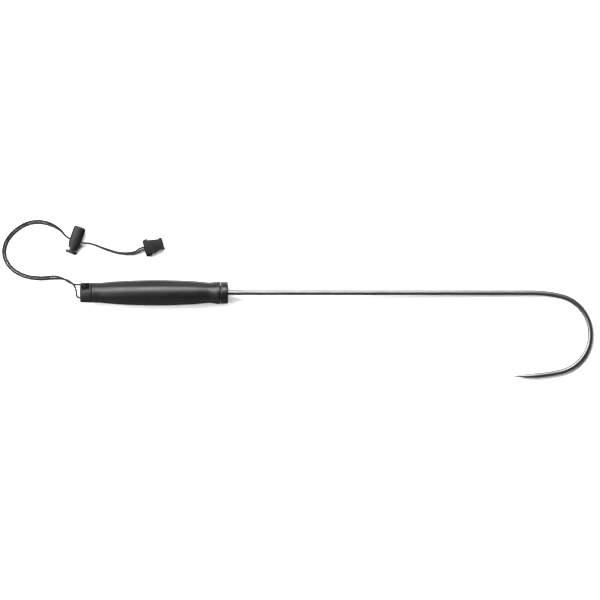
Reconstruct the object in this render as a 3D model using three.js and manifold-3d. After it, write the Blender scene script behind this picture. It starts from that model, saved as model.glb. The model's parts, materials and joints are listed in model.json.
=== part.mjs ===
// A hand gaff lying on its side on a table: a steel hook in a moulded handle with a soft grip, and a
// doubled wrist cord that carries a sprung cord lock and ends in a hinged cord end.
// Millimetres, +Z up. +X runs from the butt to the bend, the hook turns towards -Y, and the table is
// z = 0. The origin lies on the table under the middle of the handle and hook.
import * as THREE from "three";
import { mergeVertices } from "three/addons/utils/BufferGeometryUtils.js";
import Module from "manifold-3d";

const wasm = await Module();
wasm.setup();

// Driving dimensions of the whole gaff
const overall_length = 508;
const rod_diameter = 5;
const handle_length = 146;
const grip_width = 25.5;
const cord_diameter = 2.1;

// Clearances
const seat_gap = 0.3;
const cut_overrun = 2;

// Hook: two easy curves either side of the bend, then a straight needle point
const shoulder_radius = 130;
const shoulder_angle = THREE.MathUtils.degToRad(13);
const bend_radius = 38.6;
const bend_angle = THREE.MathUtils.degToRad(154.5);
const throat_radius = 170;
const throat_angle = THREE.MathUtils.degToRad(11.5);
const needle_straight = 15;
const needle_taper = 27;
const needle_tip_radius = 0.15;
const needle_round_power = 1.6;
const needle_step_shares = [0.25, 0.5, 0.7, 0.85, 0.95, 1];

// Tang: the rod's end inside the handle, coined flat
const tang_start = 24;
const tang_flat_length = 12;
const tang_flat_width = 7.2;
const tang_flat_thickness = 3.2;
const tang_slope_length = 4;

// Handle core
const butt_radius = 9.9;
const butt_edge = 0.8;
const flange_length = 11.4;
const flange_radius = 9.95;
const spine_radius = 6.4;
const rib_radius = 7.5;
const rib_width = 4;
const rib_slope = 1;
const rib_count = 5;
const collar_length = 7.3;
const collar_radius = 11.1;
const collar_front_radius = 10.85;
const collar_edge = 1.2;

// Cord slot through the butt, with a saddle bar that the cord turns round
const slot_width = 7.4;
const slot_back = 9.3;
const saddle_length = 4.25;
const strand_reach = 8.4;
const cord_bend_radius = 4.4;
const strand_shift = 2;
const slot_tilt = THREE.MathUtils.degToRad(50);

// Grip sleeve: [share of its length, share of half the grip's width that it reaches]
const grip_outline_shares = [
  [0, 0.785],
  [0.062, 0.793],
  [0.12, 0.85],
  [0.201, 0.911],
  [0.3, 0.959],
  [0.44, 0.996],
  [0.54, 1],
  [0.64, 0.98],
  [0.74, 0.944],
  [0.82, 0.898],
  [0.872, 0.842],
  [0.912, 0.808],
  [0.949, 0.842],
  [0.982, 0.888],
  [1, 0.874],
];

// Four long flats on it, two above and two below, all turned a little about the handle's axis
const flat_depth = 0.4;
const flat_rise = THREE.MathUtils.degToRad(48.5);
const flat_turn = THREE.MathUtils.degToRad(4);
const flat_run_shares = [0.06, 0.93];
const flat_fade_power = 0.55;
const flat_point_shares = [-1, -0.5, 0, 0.5, 1];

// Cord lock, measured along its axis from the closed end
const lock_length = 22.8;
const lock_width = 12.1;
const lock_height = 11;
const lock_mouth_width = 9.6;
const lock_mouth_height = 10.2;
const lock_end_wall = 1.8;
const lock_end_round = 2.4;
const lock_cord_place = 14.3;
const lock_cord_room = 1.2;
const lock_squareness = 2.7;
const lock_outline_shares = [
  [0.34, 0],
  [0.6, 0.02],
  [0.76, 0.16],
  [0.89, 0.72],
  [0.96, 0.98],
  [1, 1],
];

// Plunger and button. The gap under the button is more than its travel.
const plunger_width = 5.7;
const plunger_height = 7.8;
const plunger_squareness = 3.2;
const plunger_web = 1.4;
const plunger_travel = 2.1;
const spigot_diameter = 2.6;
const spigot_length = 3;
const button_gap = 2.4;
const button_thickness = 3.1;
const button_width = 11.4;
const button_height = 9.8;
const button_edge = 0.5;

// Spring
const spring_diameter = 4.4;
const spring_wire = 0.6;
const spring_curls = 6;
const spring_steps_per_curl = 8;
const spring_sides = 5;

// Cord end
const end_length = 19.3;
const end_height = 8.4;
const end_mouth_width = 15.8;
const end_waist_width = 10.6;
const end_lip_width = 12.4;
const end_lip_length = 2.9;
const end_edge = 0.6;
const chamber_start = 3.6;
const chamber_length = 9.6;
const chamber_width = 8;
const chamber_floor = 1.2;
const hinge_radius = 1.5;
const hinge_pin_radius = 0.6;
const hinge_inset = 0.4;
const hinge_start = 0.5;
const hinge_lobe = 1.6;
const hinge_middle_lobe = 1.8;
const hinge_pin_reach = 1.2;
const tongue_start = 1;
const tongue_length = 4;
const tongue_thickness = 1.6;
const tongue_proud = 0.8;
const tongue_drop = 1.7;
const tongue_rise = 2;
const knot_length = 6.8;
const knot_width = 6.2;
const knot_height = 5.2;

// Facets
const rod_sides = 16;
const lathe_sides = 28;
const bend_steps = 26;
const ease_steps = 4;
const corner_steps = 3;
const cord_turn_steps = 5;
const cord_sides = 8;
const oval_sides = 24;
const outline_steps = 30;
const grip_round_steps = 7;

// Cord route, measured from the butt: x and y from the middle of the butt's end face, z from the table.
// Each strand comes down from the handle by itself.
const upper_lead_points = [
  [-4.4, 7.95, 17.6],
  [-8.5, 9, 16],
  [-13, 11.3, 12.8],
  [-18.1, 14.2, 8.8],
  [-23.8, 16, 5.1],
  [-29.8, 16.3, 2.5],
];
const lower_lead_points = [
  [-2.7, -4.75, 6.95],
  [-3.9, -3.6, 6.85],
  [-4.5, -2.05, 6.7],
  [-4.75, 1.2, 6.3],
  [-5.8, 5, 5.5],
  [-8.6, 9, 4.3],
  [-13.3, 12.2, 3.1],
  [-19.8, 13.8, 2.05],
  [-26.6, 13.9, 1.35],
];

// From there the two run as a pair: x, y, z and the pair's roll in degrees, 0 side by side.
const pair_points = [
  [-36.61, 14.4, 1.15, 0],
  [-44.23, 14.48, 1.15, 0],
  [-52.11, 15.41, 1.15, 0],
  [-59.53, 17.83, 1.15, 0],
  [-66.56, 21.77, 1.15, 0],
  [-72.38, 27.56, 1.15, 0],
  [-76.09, 34.89, 1.15, 0],
  [-76.7, 43.2, 1.15, 0],
  [-74.27, 51.19, 1.15, 0],
  [-69.42, 57.95, 1.15, 0],
  [-63.22, 63.49, 1.15, 0],
  [-56.08, 67.68, 1.15, 0],
  [-48.28, 69.9, 1.15, 0],
  [-40.32, 70.15, 1.4, 8],
  [-32.72, 68.54, 1.8, 26],
  [-25.65, 65.34, 2.5, 52],
  [-19.85, 61.2, 3.6, 76],
  [-16.3, 57.3, 4.9, 88],
  [-13.29, 54.68, 5.5, 90],
  [-5.65, 51.95, 5.5, 90],
  [1.99, 49.22, 5.5, 90],
  [7.61, 49, 5, 90],
  [13.25, 47.52, 3.9, 88],
  [19.16, 45.19, 2.8, 80],
  [26.01, 42.58, 2.3, 72],
  [33.08, 40.37, 2.3, 72],
  [40.37, 39.05, 2.2, 66],
  [47.41, 38.8, 2.2, 44],
  [53.84, 39.8, 2.9, 20],
  [58.55, 42.74, 4, 2],
  [62.6, 43.86, 4.2, 0],
  [67.42, 45.2, 4.2, 0],
];
const lock_pair_index = 19;
const end_pair_index = 30;
const pair_spacing = cord_diameter + seat_gap;

// Derived sizes that several pieces share
const rod_radius = rod_diameter / 2;
const cord_radius = cord_diameter / 2;
const sleeve_start = flange_length + seat_gap;
const collar_start = handle_length - collar_length;
const sleeve_end = collar_start - seat_gap;
const saddle_fillet = cord_bend_radius - cord_radius - seat_gap;
const channel_floor = strand_reach - cord_radius - seat_gap;
const cord_turn_x = saddle_length - saddle_fillet;
const cord_turn_reach = strand_reach - cord_bend_radius;
const slot_height = pair_spacing + cord_diameter + 2 * seat_gap;
const shoulder_place = lock_cord_place - cord_radius - seat_gap - plunger_web;
const end_half_height = end_height / 2;
const flat_half_angle = Math.acos(1 - flat_depth / (grip_width / 2));
const hinge_y = -(end_mouth_width / 2 - hinge_inset);
const middle_lobe_start = hinge_start + hinge_lobe + seat_gap;
const last_lobe_start = middle_lobe_start + hinge_middle_lobe + seat_gap;

// Materials
function finish(color, roughness, metalness) {
  return new THREE.MeshStandardMaterial({ color, roughness, metalness });
}
const steel = finish(0x8f908c, 0.35, 1);
const spring_steel = finish(0x9a9a98, 0.3, 1);
const hard_black = finish(0x232323, 0.38, 0);
const soft_black = finish(0x2b2b2a, 0.5, 0);
const lock_black = finish(0x303030, 0.5, 0);
const cord_black = finish(0x2e2f2d, 0.85, 0);

// Solids: a closed mesh becomes a manifold to be joined or cut, and goes back to a geometry
function solidOf(geometry) {
  const bare = geometry.clone();
  bare.deleteAttribute("normal");
  bare.deleteAttribute("uv");
  const merged = mergeVertices(bare);
  const mesh = new wasm.Mesh({
    numProp: 3,
    vertProperties: new Float32Array(merged.attributes.position.array),
    triVerts: new Uint32Array(merged.index.array),
  });
  return new wasm.Manifold(mesh);
}

function geometryOf(solid) {
  const mesh = solid.getMesh();
  const geometry = new THREE.BufferGeometry();
  const corners = new Float32Array(mesh.vertProperties);
  geometry.setAttribute("position", new THREE.BufferAttribute(corners, mesh.numProp));
  geometry.setIndex(new THREE.BufferAttribute(new Uint32Array(mesh.triVerts), 1));
  geometry.computeVertexNormals();
  return geometry;
}

function joined(...geometries) {
  return geometryOf(geometries.map(solidOf).reduce((a, b) => a.add(b)));
}

function cut(base, ...tools) {
  return geometryOf(tools.map(solidOf).reduce((a, b) => a.subtract(b), solidOf(base)));
}

function common(a, b) {
  return geometryOf(solidOf(a).intersect(solidOf(b)));
}

// A closed body through a row of rings that have the same number of points, with flat ends
function loft(rings) {
  const sides = rings[0].length;
  const corners = rings.flat();
  const triangles = [];
  for (let ring = 0; ring + 1 < rings.length; ring += 1) {
    for (let side = 0; side < sides; side += 1) {
      const next = (side + 1) % sides;
      const a = ring * sides + side;
      const b = ring * sides + next;
      triangles.push(a, b, a + sides);
      triangles.push(b, b + sides, a + sides);
    }
  }
  for (const [ring, last] of [[rings[0], false], [rings[rings.length - 1], true]]) {
    const first = last ? (rings.length - 1) * sides : 0;
    const middle = new THREE.Vector3();
    ring.forEach((corner) => middle.addScaledVector(corner, 1 / sides));
    const hub = corners.push(middle) - 1;
    for (let side = 0; side < sides; side += 1) {
      const a = first + side;
      const b = first + ((side + 1) % sides);
      triangles.push(hub, last ? a : b, last ? b : a);
    }
  }
  const geometry = new THREE.BufferGeometry();
  geometry.setAttribute("position", new THREE.Float32BufferAttribute(corners.flatMap((c) => c.toArray()), 3));
  geometry.setIndex(triangles);
  geometry.computeVertexNormals();
  return geometry;
}

// A body of revolution about the X axis from a profile of [place along the axis, radius]
function turned(profile, sides = lathe_sides) {
  const points = profile.map(([along, radius]) => new THREE.Vector2(radius, along));
  return new THREE.LatheGeometry(points, sides).rotateZ(-Math.PI / 2);
}

// A round bar from one point towards +X
function bar(start, length, radius, y, z, sides = rod_sides) {
  const geometry = new THREE.CylinderGeometry(radius, radius, length, sides);
  return geometry.rotateZ(Math.PI / 2).translate(start + length / 2, y, z);
}

function block(low, high) {
  const size = new THREE.Vector3().subVectors(high, low);
  const middle = new THREE.Vector3().addVectors(high, low).divideScalar(2);
  return new THREE.BoxGeometry(size.x, size.y, size.z).translate(middle.x, middle.y, middle.z);
}

// A curve whose steps fall on its own points, so that a tube along it has a ring at each of them
class RoutedCurve extends THREE.CatmullRomCurve3 {
  getUtoTmapping(u) {
    return u;
  }
}

function tube(points, radius, sides) {
  const section = new THREE.Shape();
  for (let side = 0; side < sides; side += 1) {
    const angle = (2 * Math.PI * side) / sides;
    const place = [radius * Math.cos(angle), radius * Math.sin(angle)];
    if (side === 0) section.moveTo(...place);
    else section.lineTo(...place);
  }
  section.closePath();
  return new THREE.ExtrudeGeometry(section, {
    steps: points.length - 1,
    curveSegments: 1,
    extrudePath: new RoutedCurve(points),
  });
}

// Half sizes of the rod at a distance from its tip: full, then ground to a slightly rounded needle
function needleSize(left) {
  const share = Math.max(1 - left / needle_taper, 0);
  const radius = needle_tip_radius + (rod_radius - needle_tip_radius) * (1 - share ** needle_round_power);
  return { across: radius, up: radius };
}

// Hook: stations along the rod, each with its place, heading and half sizes. The heading is the angle
// turned from +X towards -Y.
function rodStations() {
  const stations = [];
  const flat_end = tang_start + tang_flat_length;
  const half_width = tang_flat_width / 2;
  const half_thickness = tang_flat_thickness / 2;
  stations.push({ x: tang_start, y: 0, heading: 0, across: half_width, up: half_thickness });
  stations.push({ x: flat_end, y: 0, heading: 0, across: half_width, up: half_thickness });
  const round = { across: rod_radius, up: rod_radius };
  stations.push({ x: flat_end + tang_slope_length, y: 0, heading: 0, ...round });

  const turns = [
    [shoulder_radius, shoulder_angle, ease_steps],
    [bend_radius, bend_angle, bend_steps],
    [throat_radius, throat_angle, ease_steps],
  ];
  const reach = shoulder_radius * Math.sin(shoulder_angle) + bend_radius * (1 - Math.sin(shoulder_angle));
  stations.push({ x: overall_length - rod_radius - reach, y: 0, heading: 0, ...round });
  let left = turns.reduce((sum, [radius, angle]) => sum + radius * angle, needle_straight);
  for (const [radius, angle, steps] of turns) {
    const from = stations[stations.length - 1];
    for (let step = 1; step <= steps; step += 1) {
      const heading = from.heading + (angle * step) / steps;
      left -= (radius * angle) / steps;
      stations.push({
        x: from.x + radius * (Math.sin(heading) - Math.sin(from.heading)),
        y: from.y - radius * (Math.cos(from.heading) - Math.cos(heading)),
        heading,
        ...needleSize(left),
      });
    }
  }

  const last = stations[stations.length - 1];
  for (const share of needle_step_shares) {
    const along = share * needle_straight;
    stations.push({
      x: last.x + along * Math.cos(last.heading),
      y: last.y - along * Math.sin(last.heading),
      heading: last.heading,
      ...needleSize(needle_straight - along),
    });
  }
  return stations;
}

// The same stations give the rod itself and, with some room all round, the hole that it is moulded into
function rodThrough(stations, room = 0) {
  return loft(
    stations.map(({ x, y, heading, across, up }) => {
      const ring = [];
      for (let side = 0; side < rod_sides; side += 1) {
        const angle = (2 * Math.PI * side) / rod_sides;
        const out = (across + room) * Math.cos(angle);
        const rise = (up + room) * Math.sin(angle);
        ring.push(new THREE.Vector3(x + out * Math.sin(heading), y + out * Math.cos(heading), rise));
      }
      return ring;
    }),
  );
}

function tangHole() {
  const [first, second, third] = rodStations();
  return rodThrough(
    [
      { ...first, x: first.x - seat_gap },
      { ...second, x: second.x + seat_gap },
      { ...third, x: third.x + seat_gap },
      { ...third, x: handle_length + cut_overrun },
    ],
    seat_gap,
  );
}

// Ribs on the core's spine: the same profile, with some room, is the sleeve's bore
function spineProfile(room = 0) {
  const profile = [];
  const pitch = (collar_start - flange_length) / rib_count;
  for (let rib = 0; rib < rib_count; rib += 1) {
    const middle = flange_length + pitch * (rib + 0.5);
    const half = rib_width / 2;
    profile.push([middle - half - rib_slope - room, spine_radius + room]);
    profile.push([middle - half - room, rib_radius + room]);
    profile.push([middle + half + room, rib_radius + room]);
    profile.push([middle + half + rib_slope + room, spine_radius + room]);
  }
  return profile;
}

// Slot, saddle and channels as one outline in the plane of the handle's axis and the slot
function slotCutter() {
  const reach = grip_width / 2;
  const inner = channel_floor - saddle_fillet;
  const outline = new THREE.Shape();
  outline.moveTo(-cut_overrun, -reach);
  outline.lineTo(slot_back, -reach);
  outline.lineTo(slot_back, reach);
  outline.lineTo(-cut_overrun, reach);
  outline.lineTo(-cut_overrun, channel_floor);
  outline.lineTo(cord_turn_x, channel_floor);
  outline.absarc(cord_turn_x, inner, saddle_fillet, Math.PI / 2, 0, true);
  outline.lineTo(saddle_length, -inner);
  outline.absarc(cord_turn_x, -inner, saddle_fillet, 0, -Math.PI / 2, true);
  outline.lineTo(-cut_overrun, -channel_floor);
  outline.closePath();
  const options = { depth: slot_width, bevelEnabled: false, curveSegments: 2 * corner_steps };
  const geometry = new THREE.ExtrudeGeometry(outline, options);
  return geometry.translate(0, 0, -slot_width / 2).rotateX(Math.PI / 2 - slot_tilt);
}

function handleCore() {
  const front = handle_length;
  const profile = [
    [0, 0],
    [0, butt_radius - butt_edge],
    [butt_edge, butt_radius],
    [flange_length, flange_radius],
    [flange_length, spine_radius],
    ...spineProfile(),
    [collar_start, spine_radius],
    [collar_start, collar_radius],
  ];
  for (let step = 0; step <= corner_steps; step += 1) {
    const angle = (Math.PI / 2) * (step / corner_steps);
    const along = front - collar_edge * (1 - Math.sin(angle));
    profile.push([along, collar_front_radius - collar_edge * (1 - Math.cos(angle))]);
  }
  profile.push([front, 0]);
  return cut(turned(profile), slotCutter(), tangHole());
}

// Grip: a bellied round body with four flats that fade out towards its ends. Angles run from +Y
// towards +Z.
function gripSection(radius, depth) {
  const middles = [flat_rise, Math.PI - flat_rise, Math.PI + flat_rise, 2 * Math.PI - flat_rise];
  const ring = [];
  const add = (angle, reach) => {
    const turned_angle = angle - flat_turn;
    ring.push([reach * Math.cos(turned_angle), reach * Math.sin(turned_angle)]);
  };
  middles.forEach((middle, index) => {
    for (const share of flat_point_shares) {
      const off = share * flat_half_angle;
      add(middle + off, Math.min(radius, (radius - depth) / Math.cos(off)));
    }
    const next = middles[index + 1] ?? middles[0] + 2 * Math.PI;
    const span = next - middle - 2 * flat_half_angle;
    for (let step = 1; step < grip_round_steps; step += 1) {
      add(middle + flat_half_angle + (span * step) / grip_round_steps, radius);
    }
  });
  return ring;
}

function gripRings() {
  const length = sleeve_end - sleeve_start;
  const half = grip_width / 2;
  const outline = new THREE.SplineCurve(
    grip_outline_shares.map(([along, out]) => new THREE.Vector2(along * length, out * half)),
  );
  const [run_start, run_end] = flat_run_shares;
  return outline.getPoints(outline_steps).map((station) => {
    const run = (station.x / length - run_start) / (run_end - run_start);
    const fade = run > 0 && run < 1 ? Math.sin(Math.PI * run) ** flat_fade_power : 0;
    const depth = (fade * flat_depth * station.y) / half;
    const x = sleeve_start + station.x;
    return gripSection(station.y, depth).map(([y, z]) => new THREE.Vector3(x, y, z));
  });
}

function gripSleeve() {
  const bore = turned([
    [sleeve_start - cut_overrun, 0],
    [sleeve_start - cut_overrun, spine_radius + seat_gap],
    ...spineProfile(seat_gap),
    [sleeve_end + cut_overrun, spine_radius + seat_gap],
    [sleeve_end + cut_overrun, 0],
  ]);
  return cut(loft(gripRings()), bore);
}

// The turn of cord in the slot: out of one channel, round the saddle, and out of the other
function bightPoints() {
  const half = [[seat_gap, strand_reach]];
  for (let step = 0; step <= cord_turn_steps; step += 1) {
    const angle = (Math.PI / 2) * (1 - step / cord_turn_steps);
    half.push([
      cord_turn_x + cord_bend_radius * Math.cos(angle),
      cord_turn_reach + cord_bend_radius * Math.sin(angle),
    ]);
  }
  const back = half.map(([x, reach]) => [x, -reach]).reverse();
  return [...half, ...back].map(([x, reach]) => slotPlace(x, reach));
}

// A point in the slot, from its place along the handle and its reach out of the handle's axis
function slotPlace(x, reach) {
  const y = reach * Math.sin(slot_tilt) + strand_shift * Math.cos(slot_tilt);
  const z = reach * Math.cos(slot_tilt) - strand_shift * Math.sin(slot_tilt);
  return new THREE.Vector3(x, y, z);
}

// The gaff rests on its grip and on the bend, so it lies a little nose down
function restPitch() {
  const bend = overall_length - rod_radius;
  const pitches = gripRings()
    .flat()
    .map(({ x, z }) => Math.asin((-z - rod_radius) / (bend - x)));
  return Math.max(...pitches);
}

// Cord strands: each runs down from its channel by itself and then beside the other
function strandPoints(exit, heading, lead_points, side) {
  const pair = pair_points.map(([x, y]) => new THREE.Vector2(x, y));
  const points = [exit, exit.clone().addScaledVector(heading, cord_radius)];
  lead_points.forEach((place) => points.push(new THREE.Vector3(...place)));
  pair_points.forEach(([x, y, z, roll], index) => {
    const before = pair[Math.max(index - 1, 0)];
    const after = pair[Math.min(index + 1, pair.length - 1)];
    const along = new THREE.Vector2().subVectors(after, before).normalize();
    const angle = THREE.MathUtils.degToRad(roll);
    const out = (side * pair_spacing * Math.cos(angle)) / 2;
    const up = (side * pair_spacing * Math.sin(angle)) / 2;
    points.push(new THREE.Vector3(x + out * along.y, y - out * along.x, z + up));
  });
  return points;
}

// A ring of a rounded oblong, across the lock's axis: along X across the lock, and Z up
function ovalRing(place, half_width, half_height, squareness) {
  const ring = [];
  for (let side = 0; side < oval_sides; side += 1) {
    const angle = (2 * Math.PI * side) / oval_sides;
    const c = Math.cos(angle);
    const s = Math.sin(angle);
    const x = half_width * Math.sign(c) * Math.abs(c) ** (2 / squareness);
    const z = half_height * Math.sign(s) * Math.abs(s) ** (2 / squareness);
    ring.push(new THREE.Vector3(x, place, z));
  }
  return ring.reverse();
}

// The cross hole for the stacked pair, between two places along the lock
function crossHole(from, to, width) {
  const reach = width / 2 + cut_overrun;
  return block(
    new THREE.Vector3(-reach, from, -slot_height / 2),
    new THREE.Vector3(reach, to, slot_height / 2),
  );
}

function lockBody() {
  const half_width = lock_width / 2;
  const half_height = lock_height / 2;
  const rings = [];
  for (let step = 0; step <= corner_steps; step += 1) {
    const angle = (Math.PI / 2) * (step / corner_steps);
    const inset = lock_end_round * (1 - Math.sin(angle));
    const along = lock_end_round * (1 - Math.cos(angle));
    rings.push(ovalRing(along, half_width - inset, half_height - inset, lock_squareness));
  }
  for (const [along, narrowing] of lock_outline_shares) {
    const width = half_width - (narrowing * (lock_width - lock_mouth_width)) / 2;
    const height = half_height - (narrowing * (lock_height - lock_mouth_height)) / 2;
    rings.push(ovalRing(along * lock_length, width, height, lock_squareness));
  }
  const bore_width = plunger_width / 2 + seat_gap;
  const bore_height = plunger_height / 2 + seat_gap;
  const bore = loft([
    ovalRing(lock_end_wall, bore_width, bore_height, plunger_squareness),
    ovalRing(lock_length + cut_overrun, bore_width, bore_height, plunger_squareness),
  ]);
  const hole = crossHole(
    lock_cord_place - cord_radius - lock_cord_room,
    lock_cord_place + cord_radius + seat_gap,
    lock_width,
  );
  return cut(loft(rings), bore, hole);
}

function lockPlunger() {
  const half_width = plunger_width / 2;
  const half_height = plunger_height / 2;
  const button_start = lock_length + button_gap;
  const button_end = button_start + button_thickness;
  const wide = [button_width / 2, button_height / 2, lock_squareness];
  const narrow = [button_width / 2 - button_edge, button_height / 2 - button_edge, lock_squareness];
  const stem = loft([
    ovalRing(shoulder_place, half_width, half_height, plunger_squareness),
    ovalRing(button_start + button_thickness / 2, half_width, half_height, plunger_squareness),
  ]);
  const button = loft([
    ovalRing(button_start, ...narrow),
    ovalRing(button_start + button_edge, ...wide),
    ovalRing(button_end - button_edge, ...wide),
    ovalRing(button_end, ...narrow),
  ]);
  const spigot = new THREE.CylinderGeometry(
    spigot_diameter / 2,
    spigot_diameter / 2,
    spigot_length + plunger_web / 2,
    rod_sides,
  );
  spigot.translate(0, shoulder_place + plunger_web / 4 - spigot_length / 2, 0);
  const slot = crossHole(
    lock_cord_place - cord_radius - seat_gap,
    lock_cord_place + cord_radius + seat_gap + plunger_travel,
    plunger_width,
  );
  return cut(joined(stem, button, spigot), slot);
}

// Spring: one wire wound round the lock's axis, with a straight run of one wire diameter at each end
function springPoints() {
  const radius = (spring_diameter - spring_wire) / 2;
  const from = lock_end_wall + seat_gap + spring_wire / 2;
  const to = shoulder_place - seat_gap - spring_wire / 2;
  const steps = spring_curls * spring_steps_per_curl;
  const points = [];
  for (let step = 0; step <= steps; step += 1) {
    const angle = (2 * Math.PI * step) / spring_steps_per_curl;
    const along = from + ((to - from) * step) / steps;
    points.push(new THREE.Vector3(radius * Math.cos(angle), along, radius * Math.sin(angle)));
  }
  const last_angle = (2 * Math.PI * steps) / spring_steps_per_curl;
  const first = points[0].clone().add(new THREE.Vector3(0, 0, -spring_wire));
  const final = points[points.length - 1].clone();
  final.x -= spring_wire * Math.sin(last_angle);
  final.z += spring_wire * Math.cos(last_angle);
  return [first, ...points, final];
}

// The least clear distance between stretches of one tube that are not neighbours along it
function leastSelfGap(points, diameter) {
  const apart = spring_steps_per_curl / 2;
  let least = Infinity;
  points.forEach((a, index) => {
    points.slice(index + apart).forEach((b) => {
      least = Math.min(least, a.distanceTo(b));
    });
  });
  return least - diameter;
}

// Cord end, in its own frame: the mouth at x = 0, the lip at +X, hinge on -Y
function endOutline() {
  const lip_start = end_length - end_lip_length;
  const mouth = end_mouth_width / 2 - end_edge;
  const waist = end_waist_width / 2 - end_edge;
  const lip = end_lip_width / 2 - end_edge;
  const outline = new THREE.Shape();
  outline.moveTo(end_edge, -mouth);
  outline.lineTo(lip_start - end_edge, -waist);
  outline.lineTo(lip_start + end_edge, -lip);
  outline.lineTo(end_length - end_edge, -lip);
  outline.lineTo(end_length - end_edge, lip);
  outline.lineTo(lip_start + end_edge, lip);
  outline.lineTo(lip_start - end_edge, waist);
  outline.lineTo(end_edge, mouth);
  outline.closePath();
  return outline;
}

function endShell() {
  const shell = new THREE.ExtrudeGeometry(endOutline(), {
    depth: end_height - 2 * end_edge,
    bevelThickness: end_edge,
    bevelSize: end_edge,
    bevelSegments: 2,
  });
  shell.translate(0, 0, end_edge);
  const chamber = block(
    new THREE.Vector3(chamber_start, -chamber_width / 2, chamber_floor),
    new THREE.Vector3(chamber_start + chamber_length, chamber_width / 2, end_height - chamber_floor),
  );
  const mouth = block(
    new THREE.Vector3(-cut_overrun, -slot_height / 2, end_half_height - cord_radius - seat_gap),
    new THREE.Vector3(chamber_start + cut_overrun, slot_height / 2, end_half_height + cord_radius + seat_gap),
  );
  return cut(shell, chamber, mouth);
}

// The half of the shell below or above the parting plane
function endHalf(above) {
  const from = above ? end_half_height + seat_gap / 2 : -cut_overrun;
  const to = above ? end_height + cut_overrun : end_half_height - seat_gap / 2;
  const half = block(
    new THREE.Vector3(-cut_overrun, -end_mouth_width, from),
    new THREE.Vector3(end_length + cut_overrun, end_mouth_width, to),
  );
  return common(endShell(), half);
}

function hingeBar(start, length, radius) {
  return bar(start, length, radius, hinge_y, end_half_height);
}

function tongueBlock(room = 0) {
  const inner = end_mouth_width / 2 + tongue_proud - tongue_thickness;
  return block(
    new THREE.Vector3(tongue_start - room, inner - room, end_half_height - tongue_drop - room),
    new THREE.Vector3(
      tongue_start + tongue_length + room,
      inner + tongue_thickness + room,
      end_half_height + tongue_rise,
    ),
  );
}

function endBase() {
  const room = hinge_radius + seat_gap;
  const half = cut(
    endHalf(false),
    hingeBar(middle_lobe_start - seat_gap, hinge_middle_lobe + 2 * seat_gap, room),
    tongueBlock(seat_gap),
  );
  const lobes = joined(
    half,
    hingeBar(hinge_start, hinge_lobe, hinge_radius),
    hingeBar(last_lobe_start, hinge_lobe, hinge_radius),
  );
  const pin_room = hinge_pin_radius + seat_gap;
  return cut(lobes, hingeBar(-cut_overrun, last_lobe_start + hinge_lobe + 2 * cut_overrun, pin_room));
}

function endLid() {
  const room = hinge_radius + seat_gap;
  const half = cut(
    endHalf(true),
    hingeBar(-cut_overrun, cut_overrun + middle_lobe_start, room),
    hingeBar(last_lobe_start - seat_gap, hinge_lobe + 2 * seat_gap, room),
  );
  const pin_start = middle_lobe_start - seat_gap - hinge_pin_reach;
  const pin_length = hinge_middle_lobe + 2 * (seat_gap + hinge_pin_reach);
  return joined(
    half,
    hingeBar(middle_lobe_start, hinge_middle_lobe, hinge_radius),
    hingeBar(pin_start, pin_length, hinge_pin_radius),
    tongueBlock(),
  );
}

function cordKnot() {
  const geometry = new THREE.SphereGeometry(knot_length / 2, rod_sides, rod_sides / 2);
  geometry.scale(1, knot_width / knot_length, knot_height / knot_length);
  return geometry.translate(chamber_start + chamber_length / 2 + seat_gap, 0, end_half_height);
}

// Scene graph
function piece(name, geometry, material) {
  const mesh = new THREE.Mesh(geometry, material);
  mesh.name = name;
  return mesh;
}

const group = new THREE.Group();

const gaff = new THREE.Group();
gaff.add(piece("gaff_hook", rodThrough(rodStations()), steel));
gaff.add(piece("handle_core", handleCore(), hard_black));
gaff.add(piece("grip_sleeve", gripSleeve(), soft_black));
gaff.add(piece("cord_bight", tube(bightPoints(), cord_radius, cord_sides), cord_black));
gaff.rotation.y = restPitch();
gaff.updateMatrixWorld(true);
const box = new THREE.Box3().setFromObject(gaff, true);
const middle = box.getCenter(new THREE.Vector3());
gaff.position.set(-middle.x, -middle.y, -box.min.z);
gaff.updateMatrixWorld(true);
group.add(gaff);

const lanyard = new THREE.Group();
const butt = gaff.localToWorld(new THREE.Vector3());
lanyard.position.set(butt.x, butt.y, 0);
lanyard.updateMatrixWorld(true);
group.add(lanyard);

const leaving = new THREE.Vector3(-1, 0, 0).transformDirection(gaff.matrixWorld);
function strand(name, reach, lead_points, side) {
  const exit = lanyard.worldToLocal(gaff.localToWorld(slotPlace(0, reach)));
  const points = strandPoints(exit, leaving, lead_points, side);
  return piece(name, tube(points, cord_radius, cord_sides), cord_black);
}
lanyard.add(strand("cord_upper", strand_reach, upper_lead_points, 1));
lanyard.add(strand("cord_lower", -strand_reach, lower_lead_points, -1));

// The heading of the pair at one of its points, as a turn about Z
function pairHeading(index) {
  const [ax, ay] = pair_points[index - 1];
  const [bx, by] = pair_points[index + 1];
  return Math.atan2(by - ay, bx - ax);
}

const lock = new THREE.Group();
const [lock_x, lock_y] = pair_points[lock_pair_index];
lock.rotation.z = pairHeading(lock_pair_index) + Math.PI;
lock.position.set(lock_x, lock_y, lock_height / 2);
lock.translateY(-lock_cord_place);
lock.add(piece("cord_lock_body", lockBody(), lock_black));
lock.add(piece("cord_lock_plunger", lockPlunger(), lock_black));
const spring_points = springPoints();
lock.add(piece("cord_lock_spring", tube(spring_points, spring_wire / 2, spring_sides), spring_steel));
lanyard.add(lock);
console.log("least gap between the spring's curls", leastSelfGap(spring_points, spring_wire).toFixed(2), "mm");

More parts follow.
